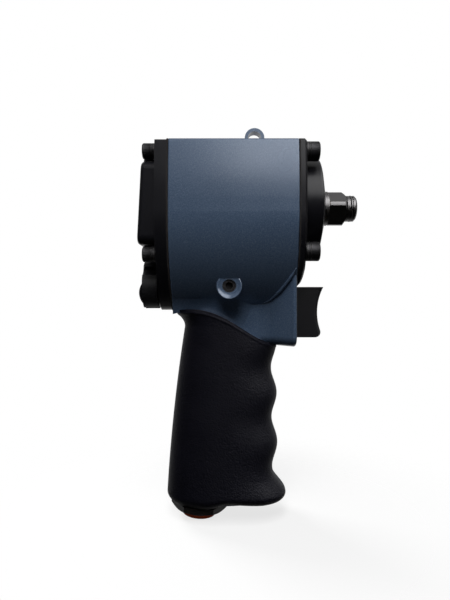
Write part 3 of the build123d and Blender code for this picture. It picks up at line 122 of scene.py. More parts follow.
def newGroup(name, inputs, outputs):
    group = bpy.data.node_groups.new(name, "ShaderNodeTree")
    for label, default in inputs:
        socket = group.interface.new_socket(name=label, in_out="INPUT", socket_type="NodeSocketFloat")
        socket.default_value = default
    for label in outputs:
        group.interface.new_socket(name=label, in_out="OUTPUT", socket_type="NodeSocketFloat")
    return group, group.nodes.new("NodeGroupInput").outputs, group.nodes.new("NodeGroupOutput").inputs


def noiseNode(tree, scale, detail, roughness=0.5):
    place = addNode(tree, "ShaderNodeTexCoord").outputs["Object"]
    noise = addNode(tree, "ShaderNodeTexNoise")
    noise.inputs["Detail"].default_value = detail
    noise.inputs["Roughness"].default_value = roughness
    tree.links.new(place, noise.inputs["Vector"])
    if isinstance(scale, (int, float)):
        noise.inputs["Scale"].default_value = scale
    else:
        tree.links.new(scale, noise.inputs["Scale"])
    return noise.outputs["Fac"]


# Fine relief of a cast, painted or moulded skin, and slow patches over it
def buildSkinGrain():
    group, source, result = newGroup(
        "skinGrain", (("Scale", 2500.0), ("Patch Scale", 60.0)), ("Height", "Patches")
    )
    group.links.new(noiseNode(group, source["Scale"], detail=2.0), result["Height"])
    group.links.new(noiseNode(group, source["Patch Scale"], detail=4.0), result["Patches"])
    return group


# Rubbed edges: where a rounded normal leaves the true one, broken up by noise
def buildEdgeWear():
    group, source, result = newGroup("edgeWear", (("Radius", 0.0006), ("Amount", 1.0)), ("Mask",))
    rounded = addNode(group, "ShaderNodeBevel", samples=6)
    group.links.new(source["Radius"], rounded.inputs["Radius"])
    facing = addNode(group, "ShaderNodeNewGeometry")
    agree = addNode(group, "ShaderNodeVectorMath", operation="DOT_PRODUCT")
    group.links.new(rounded.outputs["Normal"], agree.inputs[0])
    group.links.new(facing.outputs["Normal"], agree.inputs[1])
    apart = mathNode(group, "SUBTRACT", 1.0, agree.outputs["Value"])
    chips = noiseNode(group, scale=700.0, detail=5.0, roughness=0.7)
    broken = mathNode(group, "MULTIPLY", apart, chips)
    group.links.new(mathNode(group, "MULTIPLY", broken, source["Amount"], clamp=True), result["Mask"])
    return group


# Pale specks where a surface faces up: settled dust, and on the grip a painted sheen that lightens its upper
# faces
def buildDustAndSheenFilm():
    group, source, result = newGroup("dustAndSheenFilm", (("Amount", 0.1), ("Scale", 400.0)), ("Mask",))
    facing = addNode(group, "ShaderNodeNewGeometry")
    parts = addNode(group, "ShaderNodeSeparateXYZ")
    group.links.new(facing.outputs["Normal"], parts.inputs[0])
    upward = mathNode(group, "MULTIPLY_ADD", parts.outputs["Z"], 0.5, 0.5, clamp=True)
    speckRarity = 3.0
    cloud = noiseNode(group, source["Scale"], detail=6.0, roughness=0.7)
    specks = mathNode(group, "POWER", cloud, speckRarity)
    settledAndSheen = mathNode(group, "MULTIPLY", specks, upward)
    group.links.new(mathNode(group, "MULTIPLY", settledAndSheen, source["Amount"], clamp=True), result["Mask"])
    return group


skinGrain = buildSkinGrain()
edgeWear = buildEdgeWear()
dustAndSheenFilm = buildDustAndSheenFilm()
print("shader groups built")


def placeGroup(tree, group, **values):
    node = addNode(tree, "ShaderNodeGroup", node_tree=group)
    for label, value in values.items():
        node.inputs[label.replace("_", " ")].default_value = value
    return node.outputs


# One recipe for every finish: a base tone with patches, flakes, worn edges, dust with a painted sheen, and a
# grained skin
plainFinish = {
    "patchScale": 60.0, "wear": 0.0, "wearRadius": 0.0006, "dustAndSheen": 0.0, "dustAndSheenScale": 400.0,
    "roughnessSpread": 0.15, "bumpStrength": 0.3, "metallic": 0.0, "specular": 0.5,
    "coat": 0.0, "coatRoughness": 0.1,
}


def makeFinish(name, ownFinish):
    finish = {**plainFinish, **ownFinish}
    material = bpy.data.materials.new(name)
    material.use_nodes = True
    tree = material.node_tree
    shader = tree.nodes["Principled BSDF"]
    grain = placeGroup(tree, skinGrain, Scale=finish["grainScale"], Patch_Scale=finish["patchScale"])
    colour = mixColours(tree, grain["Patches"], finish["tone"], finish["patchTone"])
    if "flakeTone" in finish:
        flakes = addNode(tree, "ShaderNodeTexVoronoi")
        flakes.inputs["Scale"].default_value = finish["flakeScale"]
        place = addNode(tree, "ShaderNodeTexCoord").outputs["Object"]
        tree.links.new(place, flakes.inputs["Vector"])
        pick = addNode(tree, "ShaderNodeSeparateColor")
        tree.links.new(flakes.outputs["Color"], pick.inputs[0])
        sparkle = mathNode(tree, "POWER", pick.outputs[0], finish["flakeRarity"])
        colour = mixColours(tree, sparkle, colour, finish["flakeTone"])
    if finish["wear"]:
        wear = placeGroup(tree, edgeWear, Radius=finish["wearRadius"], Amount=finish["wear"])
        colour = mixColours(tree, wear["Mask"], colour, finish["wornTone"])
    # Pale specks on up-facing faces: dust, and a painted sheen
    if finish["dustAndSheen"]:
        dustAndSheen = placeGroup(tree, dustAndSheenFilm, Amount=finish["dustAndSheen"], Scale=finish["dustAndSheenScale"])
        colour = mixColours(tree, dustAndSheen["Mask"], colour, finish["dustAndSheenTone"])
    tree.links.new(colour, shader.inputs["Base Color"])
    spread = mathNode(tree, "MULTIPLY", grain["Patches"], finish["roughnessSpread"])
    rough = mathNode(tree, "ADD", spread, finish["roughness"])
    tree.links.new(rough, shader.inputs["Roughness"])
    bump = addNode(tree, "ShaderNodeBump")
    bump.inputs["Strength"].default_value = finish["bumpStrength"]
    bump.inputs["Distance"].default_value = finish["bumpDepth"] * mm
    tree.links.new(grain["Height"], bump.inputs["Height"])
    tree.links.new(bump.outputs["Normal"], shader.inputs["Normal"])
    shader.inputs["Metallic"].default_value = finish["metallic"]
    shader.inputs["Specular IOR Level"].default_value = finish["specular"]
    shader.inputs["Coat Weight"].default_value = finish["coat"]
    shader.inputs["Coat Roughness"].default_value = finish["coatRoughness"]
    return material


finishes = {
    "housing_paint": {
        "tone": (0.047, 0.076, 0.129), "patchTone": (0.053, 0.084, 0.139),
        "flakeTone": (0.085, 0.122, 0.185),
        "flakeScale": 4200.0, "flakeRarity": 2.0, "grainScale": 2500.0, "bumpDepth": 0.03,
        "metallic": 0.1, "roughness": 0.17, "specular": 0.5, "coat": 0.25, "coatRoughness": 0.24,
        "wear": 2.5, "wornTone": (0.30, 0.36, 0.44), "wearRadius": 0.0005,
    },
    "black_casting": {
        "tone": (0.005, 0.005, 0.0065), "patchTone": (0.008, 0.008, 0.010),
        "grainScale": 2200.0, "bumpDepth": 0.08, "roughness": 0.22, "specular": 0.2, "wear": 1.5,
        "wornTone": (0.05, 0.05, 0.055),
    },
    "grip_rubber": {
        "tone": (0.0021, 0.0021, 0.0042), "patchTone": (0.0034, 0.0034, 0.0060),
        "grainScale": 1400.0, "bumpDepth": 0.5, "bumpStrength": 0.6, "roughness": 0.46,
        # The pale specks on its up-facing faces are dust and a painted sheen
        "specular": 0.15, "dustAndSheen": 0.03, "dustAndSheenTone": (0.12, 0.12, 0.125),
    },
    "black_steel": {
        "tone": (0.020, 0.020, 0.022), "patchTone": (0.030, 0.029, 0.031),
        "grainScale": 3000.0, "bumpDepth": 0.03, "metallic": 0.8, "roughness": 0.40, "wear": 2.0,
        "wornTone": (0.16, 0.155, 0.15),
    },
    "anvil_steel": {
        "tone": (0.10, 0.098, 0.10), "patchTone": (0.14, 0.136, 0.138),
        "grainScale": 2600.0, "bumpDepth": 0.03, "metallic": 1.0, "roughness": 0.28, "wear": 2.5,
        "wornTone": (0.62, 0.61, 0.60), "wearRadius": 0.00035,
    },
    "inlet_steel": {
        "tone": (0.028, 0.026, 0.026), "patchTone": (0.04, 0.038, 0.037),
        "grainScale": 2600.0, "bumpDepth": 0.03, "metallic": 0.85, "roughness": 0.36, "wear": 2.0,
        "wornTone": (0.20, 0.19, 0.18),
    },
    "trigger_plastic": {
        "tone": (0.003, 0.003, 0.0038), "patchTone": (0.0045, 0.0045, 0.0055),
        "grainScale": 3000.0, "bumpDepth": 0.05, "roughness": 0.42, "specular": 0.2, "wear": 1.0,
        "wornTone": (0.02, 0.02, 0.022),
    },
    "knob_plastic": {
        "tone": (0.004, 0.004, 0.005), "patchTone": (0.006, 0.006, 0.007),
        "grainScale": 3000.0, "bumpDepth": 0.05, "roughness": 0.42, "specular": 0.45, "wear": 1.0,
        "wornTone": (0.025, 0.025, 0.028),
    },
    "ring_plastic": {
        # Its own red-orange, made brighter to stand in for the light bounced up from below: painted light
        "tone": (0.70, 0.075, 0.015), "patchTone": (0.76, 0.095, 0.022),
        "grainScale": 2500.0, "bumpDepth": 0.03, "roughness": 0.45, "specular": 0.2,
    },
    "gasket_sheet": {
        "tone": (0.004, 0.004, 0.0045), "patchTone": (0.011, 0.008, 0.007),
        "grainScale": 3500.0, "bumpDepth": 0.1, "roughness": 0.8, "patchScale": 900.0,
    },
    "seal_rubber": {
        "tone": (0.010, 0.010, 0.010), "patchTone": (0.014, 0.014, 0.014),
        "grainScale": 2500.0, "bumpDepth": 0.02, "roughness": 0.5,
    },
    "ground_steel": {
        "tone": (0.50, 0.50, 0.51), "patchTone": (0.56, 0.56, 0.57),
        "grainScale": 4000.0, "bumpDepth": 0.02, "metallic": 1.0, "roughness": 0.25,
    },
    "plate_aluminium": {
        "tone": (0.60, 0.60, 0.61), "patchTone": (0.66, 0.66, 0.67),
        "grainScale": 3000.0, "bumpDepth": 0.02, "metallic": 1.0, "roughness": 0.32,
    },
    "vane_composite": {
        "tone": (0.20, 0.13, 0.075), "patchTone": (0.26, 0.18, 0.10),
        "grainScale": 2500.0, "bumpDepth": 0.05, "roughness": 0.6,
    },
    "bush_bronze": {
        "tone": (0.50, 0.34, 0.16), "patchTone": (0.56, 0.40, 0.20),
        "grainScale": 3500.0, "bumpDepth": 0.04, "metallic": 1.0, "roughness": 0.35,
    },
    "seat_plastic": {
        "tone": (0.66, 0.64, 0.57), "patchTone": (0.70, 0.68, 0.62),
        "grainScale": 2500.0, "bumpDepth": 0.03, "roughness": 0.5,
    },
    "screen_steel": {
        "tone": (0.52, 0.52, 0.52), "patchTone": (0.58, 0.58, 0.58),
        "grainScale": 3500.0, "bumpDepth": 0.03, "metallic": 1.0, "roughness": 0.35,
    },
    "muffler_foam": {
        "tone": (0.03, 0.03, 0.03), "patchTone": (0.05, 0.05, 0.05),
        "grainScale": 1500.0, "bumpDepth": 0.3, "roughness": 0.85,
    },
}
materials = {slot: makeFinish(slot, finish) for slot, finish in finishes.items()}
for node, obj in frame["nodes"].items():
    obj.data.materials.clear()
    obj.data.materials.append(materials[nodeSlots[node]])
print("finishes:", len(materials))


# Pieces made as rows of points, skinned from row to row
def evenTurns(count):
    return [2 * math.pi * index / count for index in range(count)]


def squaredRound(turn, roundness):
    # A point of the unit curve between a circle, at a roundness of 2, and a square
    power = 2 / roundness
    return [math.copysign(abs(reach) ** power, reach) for reach in (math.cos(turn), math.sin(turn))]


def clampedShare(value, start, end):
    return min(1, max(0, (value - start) / (end - start)))


def easedShare(value, start, end):
    share = clampedShare(value, start, end)
    return share**2 * (3 - 2 * share)


def endTips(rows):
    return [sum(row, Vector()) / len(row) for row in (rows[0], rows[-1])]


def skinRows(builder, rows, joined=False, tips=()):
    rings = [[builder.verts.new(point) for point in row] for row in rows]
    pairs = list(zip(rings, rings[1:]))
    if joined:
        pairs.append((rings[-1], rings[0]))
    for lower, upper in pairs:
        for index in range(len(lower)):
            after = (index + 1) % len(lower)
            builder.faces.new((lower[index], lower[after], upper[after], upper[index]))
    for ring, point in zip((rings[0], rings[-1]), tips):
        tip = builder.verts.new(point)
        for index in range(len(ring)):
            builder.faces.new((ring[index], ring[(index + 1) % len(ring)], tip))


def addPiece(name, builder, slot, body, sharpAngle=None):
    bmesh.ops.recalc_face_normals(builder, faces=builder.faces)
    mesh = bpy.data.meshes.new(name)
    builder.to_mesh(mesh)
    builder.free()
    mesh.shade_smooth()
    if sharpAngle is not None:
        mesh.set_sharp_from_angle(angle=math.radians(sharpAngle))
    mesh.materials.append(materials[slot])
    piece = bpy.data.objects.new(name, mesh)
    bpy.context.scene.collection.objects.link(piece)
    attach(piece, body)
    return piece


# Rubber grip: a sleeve with a finger wave, a flared foot and a rolled upper edge
gripSleeve = {
    "columns": 192, "rows": 120, "rimRows": 8, "settleSteps": 40,
    "datum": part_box("motor_housing")[1].x / mm,
    "rearTop": (51.8, 57.5), "rearBottom": (60.3, 137.7), "rearBow": 1.0,  # setback and drop
    "webFlare": 5.8, "crest": -50.1,
    "frontSetback": 8.65, "frontSlope": 0.0126,
    "fingerPitch": 23.7, "fingerDepth": 1.3, "fingerValley": 77.2, "sideHollow": 0.7,
    "footFlare": 5.6, "footHeight": 13.0, "footSide": 0.9, "footSideRear": 0.4, "bottom": -140.5,
    "halfWidth": 16.4, "widthGrowth": 1.8, "roundness": 2.5,
    "rimHeight": 4.6, "rimInset": 2.9,
    "toeRise": 1.0, "toeSpan": (-58.0, -48.0), "toeExtraRise": 1.1, "toeExtraSpan": (-32.0, -46.0),
    "edge": ((-74.2, -51.2), (-61.6, -50.1), (-49.6, -53.9), (-37.6, -60.8), (-24.2, -66.0)),
    "edgeGap": 0.1,
    "lip": (  # inset and rise, from the sleeve's side to its inner upstand
        (0.0, -1.5), (-0.16, -1.1), (-0.24, -0.7), (-0.14, -0.25),
        (0.2, 0.0), (1.3, 0.0), (1.5, 1.1), (2.8, 1.1),
    ),
    "coreFront": 12.9, "coreWall": 3.3, "coreRear": 4.6, "hem": 3.0,
}


def gripRear(grip, height):
    topSetback, topDrop = grip["rearTop"]
    lowSetback, lowDrop = grip["rearBottom"]
    share = (-height - topDrop) / (lowDrop - topDrop)
    setback = topSetback + share * (lowSetback - topSetback)
    if 0 < share < 1:
        setback += 4 * grip["rearBow"] * share * (1 - share)
    flare = max(0, (height + topDrop) / (grip["crest"] + topDrop))
    return grip["datum"] - setback - grip["webFlare"] * flare**2


def gripFinger(grip, height):
    # The finger wave, 1 at the bottom of a hollow
    return math.cos(2 * math.pi * (-height - grip["fingerValley"]) / grip["fingerPitch"])


def gripLow(grip, height):
    # 1 at the grip's lower end, 0 from the top of the foot on
    return max(0, 1 - (height - grip["bottom"]) / grip["footHeight"])


def gripFoot(grip, height):
    low = gripLow(grip, height)
    return low**2 * (2 - low)


def gripFront(grip, height):
    wave = grip["fingerDepth"] * gripFinger(grip, height)
    slope = grip["frontSlope"] * (-height - grip["fingerValley"])
    return grip["datum"] - grip["frontSetback"] - wave + slope + grip["footFlare"] * gripFoot(grip, height)


def gripToe(grip, x, height):
    # The foot's front half stands a little higher than the inlet's side, most of all next to the inlet
    extra = grip["toeExtraRise"] * clampedShare(x, *grip["toeExtraSpan"])
    return (grip["toeRise"] + extra) * easedShare(x, *grip["toeSpan"]) * gripLow(grip, height)


def gripPoint(grip, height, turn, inset=0):
    rear = gripRear(grip, height)
    front = gripFront(grip, height)
    topDrop = grip["rearTop"][1]
    growth = max(0, (-height - topDrop) / (-grip["bottom"] - topDrop))
    halfWidth = grip["halfWidth"] + grip["widthGrowth"] * growth
    # The hollows of the fingers run round the front corners, and so does the ledge of the foot
    frontShare = max(0, math.cos(turn))
    hollow = 0.5 + 0.5 * gripFinger(grip, height)
    footTop = grip["bottom"] + grip["footHeight"]
    standing = clampedShare(height, footTop, footTop + grip["footHeight"])
    halfWidth -= grip["sideHollow"] * hollow * frontShare * standing
    sideShare = grip["footSideRear"] + (1 - grip["footSideRear"]) * frontShare
    halfWidth += grip["footSide"] * gripFoot(grip, height) * sideShare
    along, across = squaredRound(turn, grip["roundness"])
    x = (front + rear) / 2 + ((front - rear) / 2 - inset) * along
    return Vector((x, (halfWidth - inset) * across, height + gripToe(grip, x, height))) * mm


def gripEdgeHeight(grip, x):
    # The one smooth curve through the edge's points
    total = 0
    for place, height in grip["edge"]:
        weight = 1
        for other, _ in grip["edge"]:
            if other != place:
                weight *= (x - other) / (place - other)
        total += height * weight
    return total - grip["edgeGap"]


def gripTop(grip, turn):
    height = grip["crest"]
    for _ in range(grip["settleSteps"]):
        height = (height + gripEdgeHeight(grip, gripPoint(grip, height, turn).x / mm)) / 2
    return height


def gripCore(grip, height, turn):
    along, across = squaredRound(turn, grip["roundness"])
    front = grip["datum"] - grip["coreFront"]
    rear = gripRear(grip, height) + grip["coreRear"]
    halfWidth = grip["halfWidth"] + grip["widthGrowth"] - grip["coreWall"]
    x = (front + rear) / 2 + (front - rear) / 2 * along
    return Vector((x, halfWidth * across, height + gripToe(grip, x, height))) * mm


def buildGripSleeve(grip):
    tops = [(turn, gripTop(grip, turn)) for turn in evenTurns(grip["columns"])]
    bottom = grip["bottom"]
    rows = [[gripCore(grip, height, turn) for turn, _ in tops] for height in (bottom + grip["hem"], bottom)]
    for step in range(grip["rimRows"]):
        share = step / grip["rimRows"]
        height = bottom + grip["rimHeight"] * share
        inset = grip["rimInset"] * (1 - share) ** 2
        rows.append([gripPoint(grip, height, turn, inset) for turn, _ in tops])
    lowest = bottom + grip["rimHeight"]
    lipStart = grip["lip"][0][1]
    for step in range(grip["rows"]):
        share = step / grip["rows"]
        rows.append([gripPoint(grip, lowest + (top + lipStart - lowest) * share, turn) for turn, top in tops])
    lastInset = grip["lip"][-1][0]
    for inset, rise in (*grip["lip"], (lastInset, -grip["hem"])):
        rows.append([gripPoint(grip, top + rise, turn, inset) for turn, top in tops])
    builder = bmesh.new()
    skinRows(builder, rows, joined=True)
    sleeve = addPiece("gripSleeve", builder, "grip_rubber", "casing")
    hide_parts("rubber_grip")


buildGripSleeve(gripSleeve)
print("grip sleeve made")


# Cap screws: knurled heads with a chamfer and a hexagon socket
capScrews = {
    "columns": 72, "knurlDepth": 0.14, "chamfer": 0.45, "seatChamfer": 0.25,
    "knurlEnd": 1.8, "rimStart": 1.2, "rimBend": (0.5, 0.35),  # times the chamfer
    "socketShare": 0.6, "mouthSpare": 0.1, "drillCone": 0.5,
    "front": {"washers": "front_lock_washers", "head": 8.6, "shank": 5.0, "socket": 4.0, "outward": 1},
    "rear": {"washers": "rear_lock_washers", "head": 7.0, "shank": 4.0, "socket": 3.0, "outward": -1},
}


def hexReach(turn, across):
    return across / 2 / math.cos((turn % (math.pi / 3)) - math.pi / 6)


def buildCapScrews(name, node, common, kind):
    low, high = (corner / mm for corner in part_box(node))
    radius = kind["head"] / 2
    shank = kind["shank"] / 2
    out = kind["outward"]
    washerLow, washerHigh = (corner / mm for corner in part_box(kind["washers"]))
    seat = washerHigh.x if out > 0 else washerLow.x
    head = high.x - seat if out > 0 else seat - low.x
    length = seat - low.x if out > 0 else high.x - seat
    floor = head * (1 - common["socketShare"])
    chamfer = common["chamfer"]
    seatChamfer = common["seatChamfer"]
    bendDrop, bendInset = (chamfer * share for share in common["rimBend"])
    mouth = kind["socket"] / math.sqrt(3) + common["mouthSpare"]

    def ring(along, reach):
        return [(along, reach(index, turn), turn) for index, turn in enumerate(evenTurns(common["columns"]))]

    def plain(reach):
        return lambda index, turn: reach

    def knurled(index, turn):
        return radius - (common["knurlDepth"] if index % 2 else 0)

    def hexagon(index, turn):
        return hexReach(turn, kind["socket"])

    profile = [
        ring(-length, plain(shank - chamfer)), ring(chamfer - length, plain(shank)), ring(0, plain(shank)),
        ring(0, plain(radius - seatChamfer)), ring(seatChamfer, plain(radius)),
        ring(seatChamfer * 2, knurled), ring(head - chamfer * common["knurlEnd"], knurled),
        ring(head - chamfer * common["rimStart"], plain(radius)),
        ring(head - bendDrop, plain(radius - bendInset)), ring(head, plain(radius - chamfer)),
        ring(head, plain(mouth)), ring(head - chamfer / 2, hexagon), ring(floor, hexagon),
    ]

    def place(y, z, along, reach=0, turn=0):
        x = seat + out * along
        return Vector((x, y + reach * math.cos(turn), z + reach * math.sin(turn))) * mm

    builder = bmesh.new()
    for y in (low.y + radius, high.y - radius):
        for z in (low.z + radius, high.z - radius):
            rows = [[place(y, z, *point) for point in row] for row in profile]
            skinRows(builder, rows, tips=(place(y, z, -length), place(y, z, floor - common["drillCone"])))
    screws = addPiece(name, builder, "black_steel", "casing", sharpAngle=30)
    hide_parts(node)


buildCapScrews("frontCapScrews", "front_bolts", capScrews, capScrews["front"])
buildCapScrews("rearCapScrews", "rear_bolts", capScrews, capScrews["rear"])
print("cap screws made")


# Hood on the rear cover: an arched rib over the reverse knob, with a leaning rear face
knobHood = {
    "rows": 40, "span": 40.0, "inner": 10.95, "outer": 13.1, "front": -79.9, "rear": -87.9, "lean": 0.33,
    "corner": 0.6, "cornerSteps": 4, "endSize": 0.3, "endPower": 12,
}


def hoodSection(hood, shrink):
    # Distance along the tool and from the knob's axis, round the rib's section
    middle = (hood["inner"] + hood["outer"]) / 2
    half = (hood["outer"] - hood["inner"]) / 2 * shrink
    corner = hood["corner"] * shrink
    rear = hood["rear"] + (1 - shrink) * hood["corner"]
    points = [(hood["front"], middle - half), (hood["front"], middle + half)]
    for side in (1, -1):
        for step in range(hood["cornerSteps"] + 1):
            bend = math.pi / 2 * step / hood["cornerSteps"]
            if side < 0:
                bend = math.pi / 2 - bend
            reach = middle + side * (half - corner * (1 - math.cos(bend)))
            lean = hood["lean"] * (hood["outer"] - reach)
            points.append((rear - lean + corner * (1 - math.sin(bend)), reach))
    return points


def buildKnobHood(hood):
    low, high = (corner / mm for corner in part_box("reverse_knob"))
    axisY, axisZ = (low.y + high.y) / 2, (low.z + high.z) / 2
    rows = []
    for step in range(hood["rows"] + 1):
        share = 2 * step / hood["rows"] - 1
        turn = math.radians(hood["span"] * share)
        section = hoodSection(hood, max(hood["endSize"], 1 - share ** hood["endPower"]))
        rows.append([
            Vector((x, axisY + reach * math.sin(turn), axisZ + reach * math.cos(turn))) * mm
            for x, reach in section
        ])
    builder = bmesh.new()
    skinRows(builder, rows, tips=endTips(rows))
    addPiece("knobHood", builder, "black_casting", "casing", sharpAngle=40)


buildKnobHood(knobHood)
print("knob hood made")


# Crown of the rear cap: what it shows between the upper screws and between the lower ones
capCrown = {
    "columns": 96, "front": -80.0, "rear": -86.75, "roundness": 12.0,
    "middle": -0.3, "halfHeight": 22.1, "halfWidth": 16.4, "edge": 1.2, "edgeRows": 6,
}


def buildCapCrown(crown):
    turns = evenTurns(crown["columns"])

    def place(x, inset, turn):
        across, up = squaredRound(turn, crown["roundness"])
        y = across * (crown["halfWidth"] - inset)
        z = crown["middle"] + up * (crown["halfHeight"] - inset)
        return Vector((x, y, z)) * mm

    rows = [[place(crown["front"], 0, turn) for turn in turns]]
    for step in range(crown["edgeRows"] + 1):
        bend = math.pi / 2 * step / crown["edgeRows"]
        inset = crown["edge"] * (1 - math.cos(bend))
        depth = crown["edge"] * (1 - math.sin(bend))
        rows.append([place(crown["rear"] + depth, inset, turn) for turn in turns])
    builder = bmesh.new()
    skinRows(builder, rows, tips=endTips(rows))
    addPiece("capCrown", builder, "black_casting", "casing", sharpAngle=40)


buildCapCrown(capCrown)
print("cap crown made")


# Rim of the side boss: a dished collar round the set screw
bossRim = {
    "face": -19.4, "columns": 72, "drop": 0.3, "lift": 0.65, "floor": 0.03,
    "profile": (  # radius, and height over the boss's face
        (3.2, -0.6), (3.25, 0.03), (3.7, 0.07), (4.2, 0.18), (4.7, 0.42), (5.1, 0.72), (5.35, 0.85),
        (5.6, 0.78), (5.78, 0.45), (5.82, -0.2), (5.75, -1.5), (5.4, -5.0), (4.5, -5.0),
    ),
}


def buildBossRim(rim):
    low, high = (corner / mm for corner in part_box("side_set_screw"))
    axisX, axisZ = (low.x + high.x) / 2, (low.z + high.z) / 2 - rim["drop"]
    floor = rim["floor"]

    def place(radius, rise, turn):
        # The rim stands highest below the screw and runs out above it
        if rise > floor:
            rise = floor + (rise - floor) * min(1, rim["lift"] * (1 - math.sin(turn)))
        x = axisX + radius * math.cos(turn)
        z = axisZ + radius * math.sin(turn)
        return Vector((x, rim["face"] - rise, z)) * mm

    turns = evenTurns(rim["columns"])
    rows = [[place(radius, rise, turn) for turn in turns] for radius, rise in rim["profile"]]
    builder = bmesh.new()
    skinRows(builder, rows, joined=True)
    addPiece("bossRim", builder, "housing_paint", "casing", sharpAngle=50)


buildBossRim(bossRim)
print("boss rim made")


# The barrel's lower round, which the casting ridge and the neck's fairing lie on
barrelRound = {"centre": (-21.5, -6.4), "radius": 50.0}


def roundHeight(shape, y):
    centreY, centreZ = shape["centre"]
    return centreZ - math.sqrt(shape["radius"] ** 2 - (y - centreY) ** 2)


# Casting ridge: a fine bead along the line where the trigger block grows out of the barrel
castRidge = {
    "front": -17.9, "rear": -31.4,
    "flareStart": (-30.1, 8.0), "flareEnd": (-17.2, 22.2), "flareRadius": 8.0,
    "bead": 0.8, "stand": 0.35, "standSlope": -0.3, "rise": 0.9, "columns": 12, "rows": 60, "nudge": 0.01,
    "rearTaper": 0.5, "rearTip": 0.05, "frontGrowth": 5, "frontTip": 0.2,
}


def ridgePoint(ridge, x, side):
    startX, startY = ridge["flareStart"]
    endX, endY = ridge["flareEnd"]
    slope = (endY - startY) / (endX - startX)
    turn = math.atan(slope)
    run = ridge["flareRadius"] * math.tan(turn / 2)
    if x > startX + run * math.cos(turn):
        y = startY + (x - startX) * slope
    else:
        y = startY + ridge["flareRadius"] - math.sqrt(ridge["flareRadius"] ** 2 - (x - startX + run) ** 2)
    y += ridge["rise"]
    return Vector((x, side * y, roundHeight(barrelRound, y)))


def buildCastRidge(ridge):
    builder = bmesh.new()
    frontX = ridge["front"]
    nudge = ridge["nudge"]
    for side in (-1, 1):
        leaning = Vector((0, side, ridge["standSlope"])).normalized()
        rows = []
        ends = []
        for step in range(ridge["rows"] + 1):
            share = step / ridge["rows"]
            x = frontX + (ridge["rear"] - frontX) * share
            middle = ridgePoint(ridge, x, side)
            along = (ridgePoint(ridge, x - nudge, side) - ridgePoint(ridge, x + nudge, side)).normalized()
            outward = Vector((0, side, 0)).cross(along).normalized()
            upward = along.cross(outward)
            rearShare = (1 - share) / ridge["rearTaper"] + ridge["rearTip"]
            frontShare = share * ridge["frontGrowth"] + ridge["frontTip"]
            thick = ridge["bead"] * min(1, rearShare, frontShare)
            middle += leaning * thick * ridge["stand"] / ridge["bead"]
            rows.append([
                (middle + (outward * math.cos(turn) + upward * math.sin(turn)) * thick) * mm
                for turn in evenTurns(ridge["columns"])
            ])
            ends.append(middle * mm)
        skinRows(builder, rows, tips=(ends[0], ends[-1]))
    addPiece("castRidge", builder, "housing_paint", "casing")


buildCastRidge(castRidge)
print("casting ridge made")


# Fairing that leads the barrel's lower round into the neck, gone where the block starts to flare
neckFairing = {
    "rear": -74.15, "front": -33.0, "taperFrom": -45.0, "rows": 50, "steps": 14,
    "start": 13.0, "inside": 0.8, "top": 11.3, "hollow": (9.0, -46.9), "wall": 8.05,
    "core": 6.5, "coreHeight": -44.0, "sink": 0.8,
}


def fairingSection(fairing, x, side):
    share = easedShare(x, fairing["front"], fairing["taperFrom"])
    wall = fairing["wall"]
    top = wall + (fairing["top"] - wall) * share
    start = wall + (fairing["start"] - wall) * share
    hollowY, hollowZ = fairing["hollow"]
    first = Vector((top, roundHeight(barrelRound, top)))
    control = Vector((wall + (hollowY - wall) * share, hollowZ))
    last = Vector((wall, gripEdgeHeight(gripSleeve, x)))
    points = [Vector((start, roundHeight(barrelRound, start) + fairing["inside"]))]
    for step in range(fairing["steps"] + 1):
        part = step / fairing["steps"]
        points.append(first * (1 - part) ** 2 + control * 2 * part * (1 - part) + last * part**2)
    points.append(Vector((fairing["core"], last.y)))
    points.append(Vector((fairing["core"], fairing["coreHeight"])))
    sink = fairing["sink"] * (1 - share)
    return [Vector((x, side * (point.x - sink), point.y)) * mm for point in points]


def buildNeckFairing(fairing):
    builder = bmesh.new()
    for side in (-1, 1):
        rows = []
        for step in range(fairing["rows"] + 1):
            x = fairing["rear"] + (fairing["front"] - fairing["rear"]) * step / fairing["rows"]
            rows.append(fairingSection(fairing, x, side))
        skinRows(builder, rows, tips=endTips(rows))
    addPiece("neckFairing", builder, "housing_paint", "casing", sharpAngle=40)


buildNeckFairing(neckFairing)
print("neck fairing made")


# Pipe thread inside the air inlet, a helical ridge along the bore
inletThread = {
    "origin": (-61.6, 0.0, -140.5), "lean": 4.5, "bore": 5.7, "depth": 0.5, "pitch": 1.41,
    "from": -5.4, "to": 6.0, "steps": 48, "root": 0.12, "halfRoot": 0.42, "crestShare": 0.2,
    "runOut": 2, "endDepth": 0.05,
}


def buildInletThread(thread):
    lean = math.radians(thread["lean"])
    up = Vector((math.sin(lean), 0, math.cos(lean)))
    forward = Vector((math.cos(lean), 0, -math.sin(lean)))
    across = Vector((0, 1, 0))
    origin = Vector(thread["origin"])

    def place(height, radius, turn):
        return (origin + up * height + (forward * math.cos(turn) + across * math.sin(turn)) * radius) * mm

    wall = thread["bore"] + thread["root"]
    half = thread["pitch"] * thread["halfRoot"]
    crest = half * thread["crestShare"]
    count = int((thread["to"] - thread["from"]) / thread["pitch"] * thread["steps"])
    rows = []
    for step in range(count + 1):
        turn = 2 * math.pi * step / thread["steps"]
        height = thread["from"] + thread["pitch"] * step / thread["steps"]
        fromEnd = min(step, count - step) / thread["steps"]
        depth = thread["depth"] * min(1, fromEnd * thread["runOut"] + thread["endDepth"])
        inner = thread["bore"] - depth
        rows.append([
            place(height - half, wall, turn), place(height - crest, inner, turn),
            place(height + crest, inner, turn), place(height + half, wall, turn),
        ])
    builder = bmesh.new()
    skinRows(builder, rows, tips=endTips(rows))
    addPiece("inletThread", builder, "inlet_steel", "casing", sharpAngle=25)


buildInletThread(inletThread)
print("inlet thread made")


